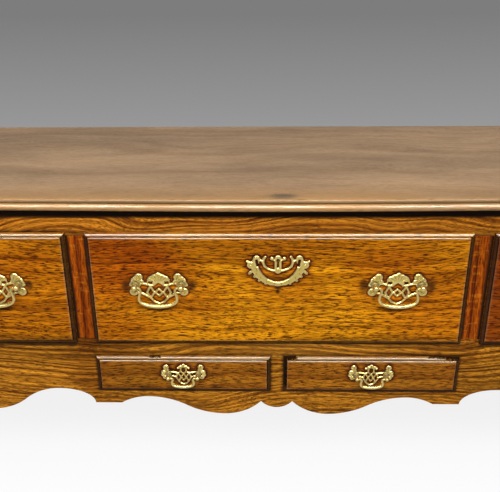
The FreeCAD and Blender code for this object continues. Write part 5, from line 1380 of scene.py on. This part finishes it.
PIN_HEAD = 0.0015
PIN_RISE = 0.0009
PIN_SUNK = 0.0008
PIN_ASIDE = 0.0455
PIN_BELOW = 0.0030
PIN_SEAT = 0.8
pin_y = field_front - PLATE_THICK * PIN_SEAT


def round_pin(x, level, y):
    """A pin head: a low dome about Y on a short stub."""
    turn = np.linspace(0, np.pi / 2, 6)
    around = np.linspace(0, 2 * np.pi, 17)
    radius = np.array([PIN_HEAD, *(PIN_HEAD * np.cos(turn[:-1])), 0.0])[:, None]
    rise = np.array([-PIN_SUNK, *(PIN_RISE * np.sin(turn))])[:, None]
    head = marked(x + radius * np.cos(around), y - rise, level + radius * np.sin(around))
    return [spread(head), collapse(head[0])]


for drawer in HANDLES:
    low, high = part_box(drawer + "_escutcheon")
    middle = (low.x + high.x) / 2
    plate = cast_plate(middle, ESCUTCHEON_LEVEL, KEY_SIZE, KEY_DISCS, KEY_CHAINS, KEY_VEINS, hole=key_slot)
    make_piece(drawer + "_keyhole_plate", [plate], drawer, brass, [drawer + "_escutcheon"])
    pins = []
    for side in (-1, 1):
        pins += round_pin(middle + side * PIN_ASIDE, ESCUTCHEON_LEVEL - PIN_BELOW, pin_y)
    make_piece(drawer + "_plate_pins", pins, drawer, brass)

# Locks: iron cases let into the back of each large front, with a bolt that shoots up into the rail.
# The iron has gone almost black, with rust where the lacquer has worn off.

PATCH_SIZE = 90.0
RUST_SPAN = (0.50, 0.70)
SCALE_COLOUR = (0.060, 0.056, 0.052)
RUST_COLOUR = (0.120, 0.052, 0.022)
RUST_ROUGHNESS = (0.0, 1.0, 0.45, 0.80)
RUST_RELIEF, RUST_DEPTH = 0.4, 0.0004
SCALE_METAL = 0.7


def build_iron():
    """Old iron: nearly black scale with rust showing through in patches."""
    material, tree, place = blank_material("lock_iron")
    patches = put(tree, "ShaderNodeTexNoise", Vector=place, Scale=PATCH_SIZE, Detail=5.0, Roughness=0.65)
    rust = ramp(tree, patches.outputs[0], *RUST_SPAN)
    relief = put(tree, "ShaderNodeBump", Strength=RUST_RELIEF, Distance=RUST_DEPTH, Height=patches.outputs[0])
    return surface(material, tree, Base_Color=tint(tree, rust, SCALE_COLOUR, RUST_COLOUR),
                   Roughness=ramp(tree, rust, *RUST_ROUGHNESS), Metallic=SCALE_METAL,
                   Normal=relief.outputs[0])


iron = build_iron()
for drawer in HANDLES:
    finish_node(drawer + "_lock", iron)
    finish_node(drawer + "_lock_bolt", iron)

# Studio: a pale floor that runs back to a grey wall, soft light from above and in front, and the camera.
# The wall grows darker with height, and the floor stays nearly white.


def plane(name, corners, material):
    """A flat four-cornered sheet that belongs to the studio."""
    mesh = bpy.data.meshes.new(name)
    mesh.from_pydata(corners, [], [(0, 1, 2, 3)])
    mesh.materials.append(material)
    sheet = bpy.data.objects.new(name, mesh)
    bpy.context.collection.objects.link(sheet)


def studio_paint(name, lit, shown_low, shown_high, axis, span, keep, mirrored):
    """Paint that takes light as a plain colour, and shows the camera, and reflections by a share, a plain
    shade that changes evenly along one axis, with the rest left to light and shadow. Its back is clear."""
    material, tree, place = blank_material(name)
    along = put(tree, "ShaderNodeSeparateXYZ", i0=place).outputs[axis]
    shown = tint(tree, ramp(tree, along, *span), (shown_low,) * 3, (shown_high,) * 3)
    matt = put(tree, "ShaderNodeBsdfDiffuse", Color=(lit, lit, lit, 1.0))
    glow = put(tree, "ShaderNodeEmission", Color=shown)
    path = put(tree, "ShaderNodeLightPath").outputs
    seen = maths(tree, "MAXIMUM", path["Is Camera Ray"], times(tree, path["Is Glossy Ray"], mirrored))
    chalk = put(tree, "ShaderNodeBsdfDiffuse", Color=(0.8, 0.8, 0.8, 1.0))
    clear = put(tree, "ShaderNodeBsdfTransparent")
    behind = put(tree, "ShaderNodeNewGeometry").outputs["Backfacing"]
    shown_paint = put(tree, "ShaderNodeMixShader", i0=keep, i1=chalk.outputs[0], i2=glow.outputs[0])
    front_side = put(tree, "ShaderNodeMixShader", i0=seen, i1=matt.outputs[0], i2=shown_paint.outputs[0])
    both_sides = put(tree, "ShaderNodeMixShader", i0=behind, i1=front_side.outputs[0], i2=clear.outputs[0])
    put(tree, "ShaderNodeOutputMaterial", Surface=both_sides.outputs[0])
    return material


WALL_Y = 2.2
WALL_HEIGHT = 4
STUDIO_HALF = 14
plane("studio_floor", [(-STUDIO_HALF, -STUDIO_HALF, 0), (STUDIO_HALF, -STUDIO_HALF, 0),
                       (STUDIO_HALF, STUDIO_HALF, 0), (-STUDIO_HALF, STUDIO_HALF, 0)],
      studio_paint("floor_paint", lit=0.12, shown_low=1.0, shown_high=0.935, axis=1, span=(-0.05, 0.35),
                   keep=0.90, mirrored=0.6))
plane("studio_wall", [(-STUDIO_HALF, WALL_Y, 0), (STUDIO_HALF, WALL_Y, 0),
                      (STUDIO_HALF, WALL_Y, WALL_HEIGHT), (-STUDIO_HALF, WALL_Y, WALL_HEIGHT)],
      studio_paint("wall_paint", lit=0.45, shown_low=0.40, shown_high=0.205, axis=2, span=(-0.1, 0.9),
                   keep=1.0, mirrored=1.0))


def soft_light(name, place, aim, size, power):
    """A large oblong lamp at a place, turned to face a point."""
    lamp = bpy.data.lights.new(name, "AREA")
    lamp.shape = "RECTANGLE"
    lamp.size, lamp.size_y = size
    lamp.energy = power
    holder = bpy.data.objects.new(name, lamp)
    holder.visible_camera = False
    away = np.array(place) - np.array(aim)
    back = away / np.linalg.norm(away)
    right = np.cross((0.0, 0.0, 1.0), back)
    right /= np.linalg.norm(right)
    up = np.cross(back, right)
    holder.matrix_world = Matrix([[right[k], up[k], back[k], place[k]] for k in range(3)] + [[0, 0, 0, 1]])
    bpy.context.collection.objects.link(holder)


soft_light("key_light", (0.05, -2.65, 2.75), aim=(0.0, -0.2, 0.65), size=(3.8, 0.5), power=188.0)
soft_light("front_light", (-0.4, -3.2, 1.2), aim=(0.0, 0.0, 0.6), size=(2.0, 1.2), power=3.0)
soft_light("back_light", (0.0, 1.9, 0.55), aim=(0.0, 0.2, 0.55), size=(3.0, 0.4), power=20.0)
for side, name in ((-1, "left_end_light"), (1, "right_end_light")):
    soft_light(name, (side * 2.6, 0.3, 0.55), aim=(side * 0.95, 0.0, 0.55), size=(1.2, 0.4), power=12.0)

world = bpy.data.worlds.new("studio_air")
bpy.context.scene.world = world
world.use_nodes = True
air = world.node_tree
air.nodes["Background"].inputs["Color"].default_value = (0.9, 0.95, 1.0, 1.0)
looked_at = put(air, "ShaderNodeLightPath").outputs["Is Camera Ray"]
air.links.new(ramp(air, looked_at, 0.0, 1.0, 0.05, 0.30), air.nodes["Background"].inputs["Strength"])

SENSOR_WIDTH = 36.0
PHOTO_WIDTH_PIXELS = 500.0
FOCAL_PIXELS = 683.0
CAMERA_SIDE = -0.0239
CAMERA_BEFORE_FRONT = 1.0527
CAMERA_OVER_TOP = 0.370
CAMERA_TURN = math.radians(1.27)
CAMERA_TILT = math.radians(90.0 - 23.67)
CAMERA_ROLL = math.radians(-0.47)
camera = bpy.data.cameras.new("photo_camera")
camera.sensor_width = SENSOR_WIDTH
camera.lens = FOCAL_PIXELS / PHOTO_WIDTH_PIXELS * SENSOR_WIDTH
viewer = bpy.data.objects.new("photo_camera", camera)
camera_place = (CAMERA_SIDE, front - CAMERA_BEFORE_FRONT, top_high.z + CAMERA_OVER_TOP)
viewer.matrix_world = (Matrix.Translation(camera_place) @ Matrix.Rotation(CAMERA_TURN, 4, "Z")
                       @ Matrix.Rotation(CAMERA_TILT, 4, "X")
                       @ Matrix.Rotation(CAMERA_ROLL, 4, "Z"))
bpy.context.collection.objects.link(viewer)
bpy.context.scene.camera = viewer
bpy.context.scene.view_settings.view_transform = "Standard"
